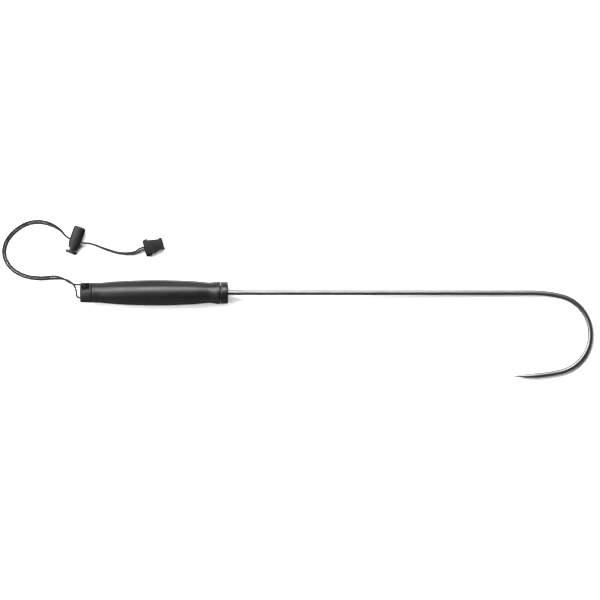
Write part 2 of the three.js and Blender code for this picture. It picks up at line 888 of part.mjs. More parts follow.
const cord_end = new THREE.Group();
const [end_x, end_y] = pair_points[end_pair_index];
cord_end.rotation.z = pairHeading(end_pair_index);
cord_end.position.set(end_x, end_y, 0);
cord_end.add(piece("cord_end_base", endBase(), lock_black));
cord_end.add(piece("cord_end_lid", endLid(), lock_black));
cord_end.add(piece("cord_knot", cordKnot(), cord_black));
lanyard.add(cord_end);

export default group;
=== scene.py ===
import json
import logging
import math
from contextlib import contextmanager
from dataclasses import dataclass, field, replace
from enum import Enum
from typing import Callable, Iterator, Sequence, Union

import bmesh
import bpy
from mathutils import Matrix, Vector


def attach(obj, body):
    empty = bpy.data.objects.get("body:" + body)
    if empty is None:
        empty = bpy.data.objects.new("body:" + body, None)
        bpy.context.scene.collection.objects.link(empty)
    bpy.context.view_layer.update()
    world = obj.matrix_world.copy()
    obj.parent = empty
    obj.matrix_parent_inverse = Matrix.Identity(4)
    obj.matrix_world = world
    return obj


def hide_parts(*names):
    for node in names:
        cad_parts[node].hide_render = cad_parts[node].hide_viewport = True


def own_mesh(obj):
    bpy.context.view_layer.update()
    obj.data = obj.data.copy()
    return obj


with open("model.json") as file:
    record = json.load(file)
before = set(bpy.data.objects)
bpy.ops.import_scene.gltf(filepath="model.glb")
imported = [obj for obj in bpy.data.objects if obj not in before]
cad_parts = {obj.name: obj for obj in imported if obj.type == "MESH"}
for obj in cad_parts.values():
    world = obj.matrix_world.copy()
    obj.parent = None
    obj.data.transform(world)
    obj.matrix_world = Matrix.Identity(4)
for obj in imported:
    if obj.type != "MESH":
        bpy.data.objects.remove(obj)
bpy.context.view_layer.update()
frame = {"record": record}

MM = 0.001
LAY = "lay"
CREST = "crest"
GAP = 0.3  # the room round each piece that another piece holds
CORD_RADIUS = 1.05
OVERRUN = 2.0  # how far a cutter reaches out of what it cuts

log = logging.getLogger("gaff")

Pair = tuple[float, float]
Triple = tuple[float, float, float]
Colour = tuple[float, float, float, float]
Band = tuple[float, ...]
Number = Union["Reading", float]


class Body(Enum):
    """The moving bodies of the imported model."""

    GAFF = "gaff"
    BUTTON = "lock_button"
    LID = "end_lid"


class Slot(Enum):
    """The record's material slots."""

    HOOK = "hook"
    CORE = "core"
    GRIP = "grip"
    CORD = "cord"
    LOCK = "cord_lock"
    SPRING = "spring"
    END = "cord_end"


class Cut(Enum):
    """How one solid changes another."""

    AWAY = "DIFFERENCE"
    WITH = "UNION"
    WITHIN = "INTERSECT"


# --- Shader nodes ---


class Reading:
    """A number or vector on a node's output; arithmetic on numbers adds Math nodes."""

    def __init__(self, sheet: "NodeSheet", socket: bpy.types.NodeSocket) -> None:
        """Keep the sheet of nodes and the output that this reading stands for."""
        self.sheet = sheet
        self.socket = socket

    def _math(self, operation: str, first: Number, second: Number) -> "Reading":
        """Add one Math node."""
        return self.sheet.add("ShaderNodeMath", {"operation": operation}, {0: first, 1: second})

    def __add__(self, other: Number) -> "Reading":
        """This plus another."""
        return self._math("ADD", self, other)

    def __radd__(self, other: Number) -> "Reading":
        """Another plus this."""
        return self._math("ADD", other, self)

    def __sub__(self, other: Number) -> "Reading":
        """This less another."""
        return self._math("SUBTRACT", self, other)

    def __rsub__(self, other: Number) -> "Reading":
        """Another less this."""
        return self._math("SUBTRACT", other, self)

    def __mul__(self, other: Number) -> "Reading":
        """This times another."""
        return self._math("MULTIPLY", self, other)

    def __rmul__(self, other: Number) -> "Reading":
        """Another times this."""
        return self._math("MULTIPLY", other, self)

    def __gt__(self, other: Number) -> "Reading":
        """1 where this is more than another, else 0."""
        return self._math("GREATER_THAN", self, other)


@dataclass(frozen=True)
class Pattern:
    """A noise: its features per unit, alike or by axis, its finer layers and how strong those are."""

    scale: float | Triple
    detail: float = 3.0
    rough: float = 0.5


class NodeSheet:
    """The nodes of one material or world."""

    def __init__(self, tree: bpy.types.NodeTree) -> None:
        """Clear the tree and keep it."""
        self.tree = tree
        tree.nodes.clear()

    def add(
        self,
        kind: str,
        settings: dict[str, object] | None = None,
        inputs: dict[int | str, object] | None = None,
        output: int | str = 0,
    ) -> Reading:
        """Add one node.

        Args:
            kind: the node's type.
            settings: its properties, set before its sockets; "stops" are a ramp's places and colours.
            inputs: values or readings for its sockets, by name or number.
            output: the output to read.

        Returns:
            A reading of that output.
        """
        node = self.tree.nodes.new(kind)
        for name, value in (settings or {}).items():
            if name == "stops":
                self._set_stops(node.color_ramp.elements, value)
            else:
                setattr(node, name, value)
        for name, value in (inputs or {}).items():
            if isinstance(value, Reading):
                self.tree.links.new(value.socket, node.inputs[name])
            else:
                node.inputs[name].default_value = value
        return Reading(self, node.outputs[output] if len(node.outputs) else node.inputs[0])

    @staticmethod
    def _set_stops(elements: bpy.types.ColorRampElements, stops: Sequence[tuple[float, Colour]]) -> None:
        """Give a ramp its stops.

        Args:
            elements: the ramp's stops.
            stops: the place and colour of each.
        """
        while len(elements) < len(stops):
            elements.new(1.0)
        for element, (place, colour) in zip(elements, stops):
            element.position = place
            element.color = colour

    def place(self) -> Reading:
        """The point on the piece in its own space, in metres."""
        return self.add("ShaderNodeTexCoord", output="Object")

    def lay(self) -> Reading:
        """How far along the piece in millimetres, and the share of a turn round it."""
        return self.add("ShaderNodeUVMap", {"uv_map": LAY}, output="UV")

    def stretched(self, vector: Reading, by: Triple) -> Reading:
        """A vector with each of its numbers multiplied."""
        return self.add("ShaderNodeVectorMath", {"operation": "MULTIPLY"}, {0: vector, 1: by})

    def part(self, vector: Reading, axis: int) -> Reading:
        """One number of a vector."""
        return self.add("ShaderNodeSeparateXYZ", None, {0: vector}, axis)

    def noise(self, vector: Reading, pattern: Pattern) -> Reading:
        """Noise from 0 to 1.

        Args:
            vector: where it is read.
            pattern: its size and fineness.

        Returns:
            The noise.
        """
        scale = pattern.scale
        if isinstance(scale, tuple):
            vector, scale = self.stretched(vector, scale), 1.0
        inputs = {"Vector": vector, "Scale": scale, "Detail": pattern.detail, "Roughness": pattern.rough}
        return self.add("ShaderNodeTexNoise", None, inputs, "Fac")

    def cells(self, vector: Reading, size: float) -> Reading:
        """Distance to the nearest of many scattered points, about size millimetres apart."""
        inputs = {"Vector": vector, "Scale": 1 / (size * MM)}
        return self.add("ShaderNodeTexVoronoi", None, inputs, "Distance")

    def between(self, value: Number, band: Band) -> Reading:
        """Map a number from one range to another, held at its ends.

        Args:
            value: the number.
            band: the ends of its range, and those of the new range where it isn't 0 to 1.

        Returns:
            The mapped number.
        """
        low, high, new_low, new_high = (*band, 0.0, 1.0)[:4]
        inputs = {0: value, 1: low, 2: high, 3: new_low, 4: new_high}
        return self.add("ShaderNodeMapRange", {"clamp": True}, inputs)

    def mixed(self, share: Number, first: Colour | Reading, second: Colour | Reading) -> Reading:
        """A colour between two, share of the way to the second."""
        settings = {"data_type": "RGBA", "clamp_factor": True}
        factor, a, b, result = 0, 6, 7, 2  # the Mix node's sockets for colours
        return self.add("ShaderNodeMix", settings, {factor: share, a: first, b: second}, result)

    def graded(
        self, value: Number, band: Band, first: Colour | Reading, second: Colour | Reading
    ) -> Reading:
        """A colour that goes from one to another while a number crosses a band."""
        return self.mixed(self.between(value, band), first, second)

    def bump(self, height: Reading, depth: float) -> Reading:
        """A normal from a height of 0 to 1 that stands for depth, in millimetres."""
        return self.add("ShaderNodeBump", None, {"Distance": depth * MM, "Height": height}, "Normal")

    def surface(self, constants: dict[str, object], varying: dict[str, Reading]) -> None:
        """End the sheet in a Principled shader.

        Args:
            constants: sockets that are the same all over the piece.
            varying: readings that change over it.
        """
        shader = self.add("ShaderNodeBsdfPrincipled", None, {**constants, **varying})
        self.add("ShaderNodeOutputMaterial", None, {"Surface": shader})


MIDDLE: Band = (0.3, 0.7)  # where most of a noise lies


def grey(level: float, warmth: float = 0.0) -> Colour:
    """A near-neutral colour of one level, a little warm or cool."""
    return (level * (1 + warmth), level, level * (1 - warmth), 1.0)


# --- Finishes ---


@dataclass(frozen=True)
class Finish:
    """The name of a material; each kind paints its own nodes."""

    name: str

    def material(self) -> bpy.types.Material:
        """The material, painted the first time it is asked for.

        Returns:
            The material.
        """
        made = bpy.data.materials.get(self.name)
        if made is None:
            made = bpy.data.materials.new(self.name)
            made.use_nodes = True
            self.paint(NodeSheet(made.node_tree))
        return made

    def paint(self, sheet: NodeSheet) -> None:
        """Add the nodes of this kind of finish to the sheet."""
        raise NotImplementedError


@dataclass(frozen=True)
class GroundSteel(Finish):
    """Stainless rod, drawn and polished lengthwise, with the needle ground across."""

    dark: float = 0.1
    light: float = 0.155
    warmth: float = 0.03
    ior: float = 2.2
    polish: float = 0.3
    lines: Pattern = Pattern((1 / 22.0, 26.0, 1.0), 5.0, 0.62)
    line_gloss: Band = (0.25, 0.75, 0.0, 0.1)
    line_heights: Band = (0.2, 0.8)
    line_depth: float = 0.012
    marks: Pattern = Pattern(46.0, 4.0, 0.6)
    mark_share: Band = (0.56, 0.8, 0.0, 0.35)
    mark_shade: float = 0.8
    mark_gloss: Band = (0.5, 0.8, 0.0, 0.08)
    needle: Band = (580.0, 583.0)
    grinding: Pattern = Pattern((1 / 0.35, 3.0, 1.0), 3.0, 0.7)
    ground_shades: Pair = (0.9, 1.12)
    ground_height: float = 0.8

    def paint(self, sheet: NodeSheet) -> None:
        """Lengthwise lines, faint water marks and a brighter ground needle.

        Args:
            sheet: the material's nodes.
        """
        lay = sheet.lay()
        lines = sheet.noise(lay, self.lines)
        marks = sheet.noise(sheet.place(), self.marks)
        grind = sheet.noise(lay, self.grinding)
        needle = sheet.between(sheet.part(lay, 0), self.needle)
        body = sheet.graded(lines, MIDDLE, grey(self.dark, self.warmth), grey(self.light, self.warmth))
        stain = grey(self.dark * self.mark_shade, self.warmth)
        worn = sheet.graded(marks, self.mark_share, body, stain)
        ground = sheet.graded(grind, MIDDLE, *(grey(self.light * shade) for shade in self.ground_shades))
        height = sheet.between(lines, self.line_heights) + needle * grind * self.ground_height
        gloss = sheet.between(lines, self.line_gloss) + sheet.between(marks, self.mark_gloss)
        sheet.surface(
            {"Metallic": 1.0, "IOR": self.ior},
            {
                "Base Color": sheet.mixed(needle, worn, ground),
                "Roughness": self.polish + gloss,
                "Normal": sheet.bump(height, self.line_depth),
            },
        )


@dataclass(frozen=True)
class Moulded(Finish):
    """A black moulding: a cellular grain from its mould, and a colour that is a little uneven."""

    level: float = 0.003
    warmth: float = 0.02
    gloss: float = 0.34
    specular: float = 0.3
    grain_size: float = 0.28
    grain_depth: float = 0.03
    coarse: float = 0.7
    fine: Pattern = Pattern(2.2, 2.0)
    cloud: Pattern = Pattern(130.0, 3.0, 0.6)
    shades: Pair = (0.82, 1.2)

    def base(self, sheet: NodeSheet, cloud: Reading) -> Reading:
        """The uneven colour under the wear."""
        dark, light = self.shades
        return sheet.graded(cloud, MIDDLE, grey(self.level * dark), grey(self.level * light, self.warmth))

    def finished(self, sheet: NodeSheet, colour: Reading, rough: Reading) -> None:
        """End the sheet with a colour, a roughness and the grain.

        Args:
            sheet: the material's nodes.
            colour: the colour.
            rough: the roughness.
        """
        place = sheet.place()
        coarse = sheet.between(sheet.cells(place, self.grain_size), (0.0, self.coarse, 0.0, self.coarse))
        fine = sheet.noise(place, replace(self.fine, scale=self.fine.scale / (self.grain_size * MM)))
        normal = sheet.bump(coarse + fine * (1 - self.coarse), self.grain_depth)
        sheet.surface(
            {"Specular IOR Level": self.specular},
            {"Base Color": colour, "Roughness": rough, "Normal": normal},
        )


@dataclass(frozen=True)
class MouldedPlastic(Moulded):
    """Hard black plastic with the fine spark texture of its mould, rubbed along its edges."""

    cloud_gloss: Band = (0.35, 0.75, 0.0, 0.14)
    flow: Pattern = Pattern((18.0, 90.0, 90.0), 4.0, 0.55)
    flow_gloss: float = 0.12
    edge_bend: Band = (0.515, 0.6)
    edge_patches: Band = (0.35, 0.6)
    edge_gloss: float = 0.1
    rubbed: float = 0.5
    rubbed_shade: float = 3.2
    rubbed_least: float = 0.006
    dust: Pattern = Pattern(1400.0, 2.0, 0.7)
    dust_share: Band = (0.66, 0.78, 0.0, 0.2)
    dust_colour: Pair = (0.12, 0.04)
    front: Band = (-0.15, -0.13)
    front_polish: float = 0.0

    def paint(self, sheet: NodeSheet) -> None:
        """Spark grain, uneven gloss, lighter rubbed edges, a little dust, and a smoother front.

        Args:
            sheet: the material's nodes.
        """
        place = sheet.place()
        cloud = sheet.noise(place, self.cloud)
        flow = sheet.noise(place, self.flow)
        bend = sheet.add("ShaderNodeNewGeometry", output="Pointiness")
        edge = sheet.between(bend, self.edge_bend) * sheet.between(cloud, self.edge_patches)
        specks = sheet.between(sheet.noise(place, self.dust), self.dust_share)
        bare = grey(self.level * self.rubbed_shade + self.rubbed_least, self.warmth)
        rubbed = sheet.mixed(edge * self.rubbed, self.base(sheet, cloud), bare)
        rough = self.gloss + self.flow_gloss * flow + sheet.between(cloud, self.cloud_gloss)
        front = sheet.between(sheet.part(place, 0), self.front)
        rough = rough - self.edge_gloss * edge - self.front_polish * front
        self.finished(sheet, sheet.mixed(specks, rubbed, grey(*self.dust_colour)), rough)


@dataclass(frozen=True)
class SoftRubber(Moulded):
    """Satin moulded rubber, handled shiny on its crests and a little grey with use."""

    grain_size: float = 0.42
    grain_depth: float = 0.035
    coarse: float = 0.75
    fine: Pattern = Pattern(3.0, 3.0, 0.6)
    cloud: Pattern = Pattern(95.0, 4.0, 0.6)
    shades: Pair = (0.84, 1.18)
    handling: Pattern = Pattern((0.07, 14.0, 1.0), 4.0, 0.6)
    handling_gloss: Band = (0.3, 0.75, 0.0, 0.1)
    crest_share: Band = (0.35, 0.7, 0.1, 0.6)
    crest_shade: float = 2.1
    crest_polish: float = 0.12
    scuffs: Pattern = Pattern((160.0, 900.0, 900.0), 4.0, 0.7)
    scuff_band: Band = (0.6, 0.78)
    scuff_share: float = 0.25
    scuff_shade: float = 4.0
    scuff_gloss: float = 0.08
    dull_butt: Band = (20.0, 62.0, 0.06, 0.0)

    def paint(self, sheet: NodeSheet) -> None:
        """Pebble grain, handling marks, polished crests, and a duller end where the hand seldom is.

        Args:
            sheet: the material's nodes.
        """
        place = sheet.place()
        lay = sheet.lay()
        handling = sheet.noise(lay, self.handling)
        crest = sheet.add("ShaderNodeAttribute", {"attribute_name": CREST}, output="Fac")
        scuff = sheet.between(sheet.noise(place, self.scuffs), self.scuff_band)
        base = self.base(sheet, sheet.noise(place, self.cloud))
        worn_share = crest * sheet.between(handling, self.crest_share)
        worn = sheet.mixed(worn_share, base, grey(self.level * self.crest_shade, self.warmth))
        pale = grey(self.level * self.scuff_shade, warmth=0.03)
        scuffed = sheet.mixed(scuff * self.scuff_share, worn, pale)
        rough = self.gloss + sheet.between(handling, self.handling_gloss) + self.scuff_gloss * scuff
        rough = rough + sheet.between(sheet.part(lay, 0), self.dull_butt) - self.crest_polish * crest
        self.finished(sheet, scuffed, rough)


@dataclass(frozen=True)
class BraidedCord(Finish):
    """Charcoal polyester braid: two families of yarns that cross over and under each other."""

    level: float = 0.009
    yarns: int = 6
    lead: float = 7.0
    filaments: Triple = (7.0, 0.6, 0.05)
    filament: Pattern = Pattern(1.0, 3.0, 0.6)
    filament_band: Band = (0.3, 0.72)
    crown_band: Band = (0.08, 0.55)
    # painted shade: how dark the crevices between yarns are painted
    crevice_painted_shade: float = 0.35
    yarn_shades: Pair = (0.75, 1.7)
    fading: Pattern = Pattern(60.0, 3.0, 0.6)
    faded_share: Band = (0.45, 0.75, 0.0, 0.45)
    faded_shade: float = 2.3
    fuzz: Pattern = Pattern(5200.0, 2.0, 0.6)
    gloss: float = 0.62
    filament_gloss: float = 0.2
    deep_gloss: float = 0.12
    specular: float = 0.15
    sheen: float = 0.05
    heights: Triple = (0.55, 0.3, 0.15)
    depth: float = 0.05

    def paint(self, sheet: NodeSheet) -> None:
        """Yarns that follow the mesh's relief, their filaments, painted shade in the crevices between yarns,
        and faded crowns.

        Args:
            sheet: the material's nodes.
        """
        lay = sheet.lay()
        place = sheet.place()
        along = sheet.part(lay, 0)
        turn = sheet.part(lay, 1)
        right = (turn + along * (1 / self.lead)) * self.yarns
        left = (turn - along * (1 / self.lead)) * self.yarns
        over = self._parity(sheet, right, left)
        crown = over * self._crown(sheet, right) + (1 - over) * self._crown(sheet, left)
        across = over * right + (1 - over) * left
        run = over * left + (1 - over) * right
        ways = {axis: way * self.filaments[axis] for axis, way in enumerate((across, run, along))}
        filament = sheet.noise(sheet.add("ShaderNodeCombineXYZ", None, ways), self.filament)
        fade = sheet.noise(place, self.fading)
        fuzz = sheet.noise(place, self.fuzz)
        dark, light = (self.level * shade for shade in self.yarn_shades)
        yarn = sheet.graded(filament, self.filament_band, grey(dark), grey(light, warmth=0.02))
        faded = sheet.graded(fade, self.faded_share, yarn, grey(self.level * self.faded_shade, warmth=0.03))
        # painted shade: the crevices between yarns are painted darker, and the crowns take the yarn colour
        colour = sheet.graded(crown, self.crown_band, grey(self.level * self.crevice_painted_shade), faded)
        of_crown, of_filament, of_fuzz = self.heights
        height = crown * of_crown + filament * of_filament + fuzz * of_fuzz
        rough = self.gloss + self.filament_gloss * filament + self.deep_gloss * (1 - crown)
        sheet.surface(
            {"Specular IOR Level": self.specular, "Sheen Weight": self.sheen, "Sheen Roughness": 0.5},
            {"Base Color": colour, "Roughness": rough, "Normal": sheet.bump(height, self.depth)},
        )

    @staticmethod
    def _crown(sheet: NodeSheet, count: Reading) -> Reading:
        """1 on the middle of a yarn and 0 between two."""
        wave = sheet.add("ShaderNodeMath", {"operation": "PINGPONG"}, {0: count, 1: 0.5})
        return sheet.between(wave, (0.0, 0.5))

    @staticmethod
    def _parity(sheet: NodeSheet, right: Reading, left: Reading) -> Reading:
        """1 where the right-hand yarn lies on top, as on a chess board.

        Args:
            sheet: the material's nodes.
            right: the count of right-hand yarns.
            left: the count of left-hand yarns.

        Returns:
            1 or 0.
        """
        floors = [sheet.add("ShaderNodeMath", {"operation": "FLOOR"}, {0: count}) for count in (right, left)]
        steps = {0: floors[0] + floors[1], 1: 2.0}
        return sheet.add("ShaderNodeMath", {"operation": "FLOORED_MODULO"}, steps) > 0.5


@dataclass(frozen=True)
class SpringWire(Finish):
    """Bright cold-drawn spring wire."""

    level: float = 0.55
    dark_shade: float = 0.8
    lines: Pattern = Pattern((0.5, 22.0, 1.0), 4.0, 0.6)
    line_depth: float = 0.006
    oil: Pattern = Pattern(420.0)
    oil_share: Band = (0.55, 0.8, 0.0, 0.4)
    oil_colour: Pair = (0.3, 0.08)
    polish: float = 0.2
    line_gloss: float = 0.16

    def paint(self, sheet: NodeSheet) -> None:
        """Drawing lines along the wire and a little oil.

        Args:
            sheet: the material's nodes.
        """
        lines = sheet.noise(sheet.lay(), self.lines)
        oil = sheet.noise(sheet.place(), self.oil)
        dark, light = grey(self.level * self.dark_shade), grey(self.level, warmth=0.01)
        colour = sheet.graded(lines, MIDDLE, dark, light)
        sheet.surface(
            {"Metallic": 1.0},
            {
                "Base Color": sheet.graded(oil, self.oil_share, colour, grey(*self.oil_colour)),
                "Roughness": self.polish + self.line_gloss * lines,
                "Normal": sheet.bump(lines, self.line_depth),
            },
        )


@dataclass(frozen=True)
class PaleTable(Finish):
    """A matt white sweep that glows faintly where it is far from the object, as a lit studio wall does."""

    level: float = 0.9
    cloud: Pattern = Pattern(3.0)
    cloud_shade: float = 0.985
    tooth: Pattern = Pattern(900.0, 2.0)
    tooth_depth: float = 0.02
    tooth_gloss: float = 0.1
    gloss: float = 0.85
    specular: float = 0.1
    glow: float = 0.85
    glow_band: Band = (0.5, 1.3)

    def paint(self, sheet: NodeSheet) -> None:
        """Barely uneven white, with a fine tooth, and the glow by the distance from the object.

        Args:
            sheet: the material's nodes.
        """
        place = sheet.place()
        cloud = sheet.noise(place, self.cloud)
        tooth = sheet.noise(place, self.tooth)
        away = sheet.add("ShaderNodeVectorMath", {"operation": "LENGTH"}, {0: place}, output="Value")
        sheet.surface(
            {"Specular IOR Level": self.specular, "Emission Strength": 1.0},
            {
                "Base Color": sheet.mixed(cloud, grey(self.level * self.cloud_shade), grey(self.level)),
                "Roughness": self.gloss + self.tooth_gloss * tooth,
                "Emission Color": sheet.graded(away, self.glow_band, grey(0.0), grey(self.glow)),
                "Normal": sheet.bump(tooth, self.tooth_depth),
            },
        )


STEEL = GroundSteel("ground_steel")
CORE_PLASTIC = MouldedPlastic(
    "core_plastic", gloss=0.42, specular=0.28, grain_size=0.4, grain_depth=0.05, front_polish=0.2
)
GRIP_RUBBER = SoftRubber("grip_rubber", gloss=0.33)
CORD_BRAID = BraidedCord("cord_braid")
LOCK_PLASTIC = MouldedPlastic("lock_plastic", level=0.005, specular=0.15)
END_PLASTIC = MouldedPlastic("end_plastic", level=0.004, specular=0.11)
WIRE = SpringWire("spring_wire")
TABLE = PaleTable("pale_table")


# --- Curves and rings ---


def smooth_min(first: float, second: float, blend: float) -> float:
    """The lesser of two numbers, with a rounded corner where they are alike."""
    share = max(blend - abs(first - second), 0.0) / blend
    return min(first, second) - blend * (share / 2) ** 2


def eased(points: Sequence[Vector], per_piece: int = 24) -> list[Vector]:
    """A smooth centripetal curve through some points, of any number of dimensions.

    Args:
        points: the points that the curve passes.
        per_piece: steps between one point and the next.

    Returns:
        Points along the curve.
    """
    ends = [points[0] * 2 - points[1], *points, points[-1] * 2 - points[-2]]
    line: list[Vector] = []
    for before, start, end, after in zip(ends, ends[1:], ends[2:], ends[3:]):
        sides = ((before, start), (start, end), (end, after))
        first, middle, last = ((b - a).length ** 0.5 for a, b in sides)
        straight = (end - start) / middle
        leave = ((start - before) / first - (end - before) / (first + middle) + straight) * middle
        reach = (straight - (after - start) / (middle + last) + (after - end) / last) * middle
        for step in range(per_piece):
            t = step / per_piece
            line.append(
                start
                + leave * t
                + (end * 3 - start * 3 - leave * 2 - reach) * t**2
                + (start * 2 - end * 2 + leave + reach) * t**3
            )
    line.append(points[-1].copy())
    return line


def evenly(line: Sequence[Vector], pitch: float) -> list[Vector]:
    """The same line with its points an even distance apart.

    Args:
        line: points along a line.
        pitch: the distance to aim for.

    Returns:
        Evenly spaced points with the same ends.
    """
    travelled = [0.0]
    for a, b in zip(line, line[1:]):
        travelled.append(travelled[-1] + (b - a).length)
    count = max(round(travelled[-1] / pitch), 2)
    spaced: list[Vector] = []
    index = 0
    for step in range(count + 1):
        target = travelled[-1] * step / count
        while index + 2 < len(line) and travelled[index + 1] < target:
            index += 1
        share = (target - travelled[index]) / (travelled[index + 1] - travelled[index])
        spaced.append(line[index].lerp(line[index + 1], min(max(share, 0.0), 1.0)))
    return spaced


def ring_angles(sides: int) -> list[float]:
    """The angles, in radians, of points spread evenly over a turn."""
    return [2 * math.pi * side / sides for side in range(sides)]


def arc(centre: Pair, radius: float, start: float, end: float, steps: int) -> list[Pair]:
    """Points of an arc in a plane, from one angle to another in degrees."""
    angles = [math.radians(start + (end - start) * step / steps) for step in range(steps + 1)]
    return [(centre[0] + radius * math.cos(a), centre[1] + radius * math.sin(a)) for a in angles]


def quarter_round(radius: float, steps: int) -> list[Pair]:
    """How far back from the end and in from the side an edge's rounding lies, from side to end."""
    angles = [math.pi / 2 * step / steps for step in range(steps + 1)]
    return [(radius * (1 - math.sin(a)), radius * (1 - math.cos(a))) for a in angles]


def rectangle(left: float, right: float, half: float) -> list[Pair]:
    """The corners of a rectangle that lies evenly on both sides of an axis, anticlockwise."""
    return [(left, -half), (right, -half), (right, half), (left, half)]


def rounded_outline(corners: Sequence[Pair], radius: float, steps: int = 5) -> list[Pair]:
    """A closed outline with each corner rounded.

    Args:
        corners: the sharp corners, anticlockwise.
        radius: how far from a corner the rounding starts, at most.
        steps: steps of each rounding.

    Returns:
        The rounded outline.
    """
    most = 0.45  # of a side
    outline: list[Pair] = []
    count = len(corners)
    for index, corner in enumerate(corners):
        here = Vector(corner)
        before = Vector(corners[index - 1]) - here
        after = Vector(corners[(index + 1) % count]) - here
        start = here + before.normalized() * min(radius, before.length * most)
        end = here + after.normalized() * min(radius, after.length * most)
        for step in range(steps + 1):
            t = step / steps
            point = start * (1 - t) ** 2 + here * 2 * t * (1 - t) + end * t**2
            outline.append((point.x, point.y))
    return outline


def oval(half_width: float, half_height: float, squareness: float, sides: int) -> list[Pair]:
    """A rounded oblong about the middle, anticlockwise.

    Args:
        half_width: half its width.
        half_height: half its height.
        squareness: 2 for an ellipse, more for fuller corners.
        sides: how many points it has.

    Returns:
        The points.
    """
    power = 2 / squareness
    ring = []
    for angle in ring_angles(sides):
        c, s = math.cos(angle), math.sin(angle)
        x = half_width * math.copysign(abs(c) ** power, c)
        y = half_height * math.copysign(abs(s) ** power, s)
        ring.append((x, y))
    return ring


# --- Meshes ---


def loft(
    rings: Sequence[Sequence[Vector]],
    along: Sequence[float],
    endless: bool = False,
    crest: Sequence[Sequence[float]] | None = None,
) -> bpy.types.Mesh:
    """A closed skin through rings that have the same number of points.

    Args:
        rings: the rings, in order.
        along: how far along the piece each ring lies, for its finish.
        endless: join the last ring to the first, in place of flat ends.
        crest: a number from 0 to 1 for each point, for its finish.

    Returns:
        The mesh, with its lay.
    """
    sides = len(rings[0])
    corners = [tuple(point) for ring in rings for point in ring]
    faces: list[tuple[int, ...]] = []
    lays: list[Pair] = []
    count = len(rings)
    for ring in range(count if endless else count - 1):
        after = (ring + 1) % count
        here, there = ring * sides, after * sides
        for side in range(sides):
            following = (side + 1) % sides
            faces.append((here + side, here + following, there + following, there + side))
            left, right = side / sides, (side + 1) / sides
            near, far = along[ring], along[after]
            lays += [(near, left), (near, right), (far, right), (far, left)]
    if not endless:
        for first, place, flip in ((0, along[0], True), ((count - 1) * sides, along[-1], False)):
            order = [first + side for side in range(sides)]
            faces.append(tuple(reversed(order)) if flip else tuple(order))
            shares = [side / sides for side in range(sides)]
            lays += [(place, share) for share in (reversed(shares) if flip else shares)]
    mesh = bpy.data.meshes.new("skin")
    mesh.from_pydata(corners, [], faces)
    layer = mesh.uv_layers.new(name=LAY)
    layer.data.foreach_set("uv", [number for pair in lays for number in pair])
    if crest is not None:
        attribute = mesh.attributes.new(CREST, "FLOAT", "POINT")
        attribute.data.foreach_set("value", [value for ring in crest for value in ring])
    return mesh


def turned(profile: Sequence[Pair], sides: int) -> bpy.types.Mesh:
    """A body of revolution about X from (place along the axis, radius); it starts and ends off the axis.

    Args:
        profile: places along the axis and radii.
        sides: points in a ring.

    Returns:
        The mesh.
    """
    rings = []
    for along, radius in profile:
        ring = [(along, radius * math.cos(a), radius * math.sin(a)) for a in ring_angles(sides)]
        rings.append([Vector(point) for point in ring])
    return loft(rings, [along for along, _ in profile])


def prism(outline: Sequence[Pair], low: float, high: float) -> bpy.types.Mesh:
    """A flat outline in X and Y, anticlockwise, made solid from one height to another."""
    rings = [[Vector((x, y, z)) for x, y in outline] for z in (low, high)]
    return loft(rings, [low, high])


def tube(
    line: Sequence[Vector],
    radius: Callable[[float, float], float],
    sides: int,
    domed: float = 0.0,
) -> bpy.types.Mesh:
    """A tube along a line, whose rings turn as little as they can.

    Args:
        line: the ring centres.
        radius: the radius at a distance along and a share of a turn.
        sides: points in a ring.
        domed: how far each end is rounded off.

    Returns:
        The mesh.
    """
    steep = 0.9  # a start that points up this much leaves no room for an upright ring
    rings: list[list[Vector]] = []
    places: list[float] = []
    travelled = 0.0
    upright = abs((line[1] - line[0]).normalized().z) > steep
    out = Vector((1, 0, 0)) if upright else Vector((0, 0, 1))
    last = len(line) - 1
    for index, centre in enumerate(line):
        heading = (line[min(index + 1, last)] - line[max(index - 1, 0)]).normalized()
        out = (out - heading * out.dot(heading)).normalized()
        side_way = heading.cross(out)
        if index:
            travelled += (centre - line[index - 1]).length
        ring = []
        for side, angle in enumerate(ring_angles(sides)):
            reach = radius(travelled, side / sides)
            ring.append(centre + (out * math.cos(angle) + side_way * math.sin(angle)) * reach)
        rings.append(ring)
        places.append(travelled)
    if domed:
        draw_in(line, rings, places, domed)
    return loft(rings, places)


def draw_in(
    line: Sequence[Vector], rings: list[list[Vector]], places: Sequence[float], depth: float
) -> None:
    """Draw in the last rings at both ends, so that a tube's ends are rounded.

    Args:
        line: the ring centres.
        rings: the rings, which are changed.
        places: how far along each lies.
        depth: how far the rounding reaches from an end.
    """
    least = 0.04  # the square of the end ring's share of its size
    for index, (centre, place) in enumerate(zip(line, places)):
        left = min(place, places[-1] - place)
        if left < depth:
            share = math.sqrt(max(1 - (1 - left / depth) ** 2, least))
            rings[index] = [centre + (point - centre) * share for point in rings[index]]


@contextmanager
def editing(mesh: bpy.types.Mesh) -> Iterator[bmesh.types.BMesh]:
    """Edit a mesh, which is written back at the end.

    Args:
        mesh: the mesh.
    """
    work = bmesh.new()
    work.from_mesh(mesh)
    yield work
    work.to_mesh(mesh)
    work.free()


def added(name: str, data: bpy.types.ID) -> bpy.types.Object:
    """A new object in the scene that holds a mesh, a lamp or a camera.

    Args:
        name: the object's name.
        data: what it holds.

    Returns:
        The object.
    """
    thing = bpy.data.objects.new(name, data)
    bpy.context.scene.collection.objects.link(thing)
    return thing


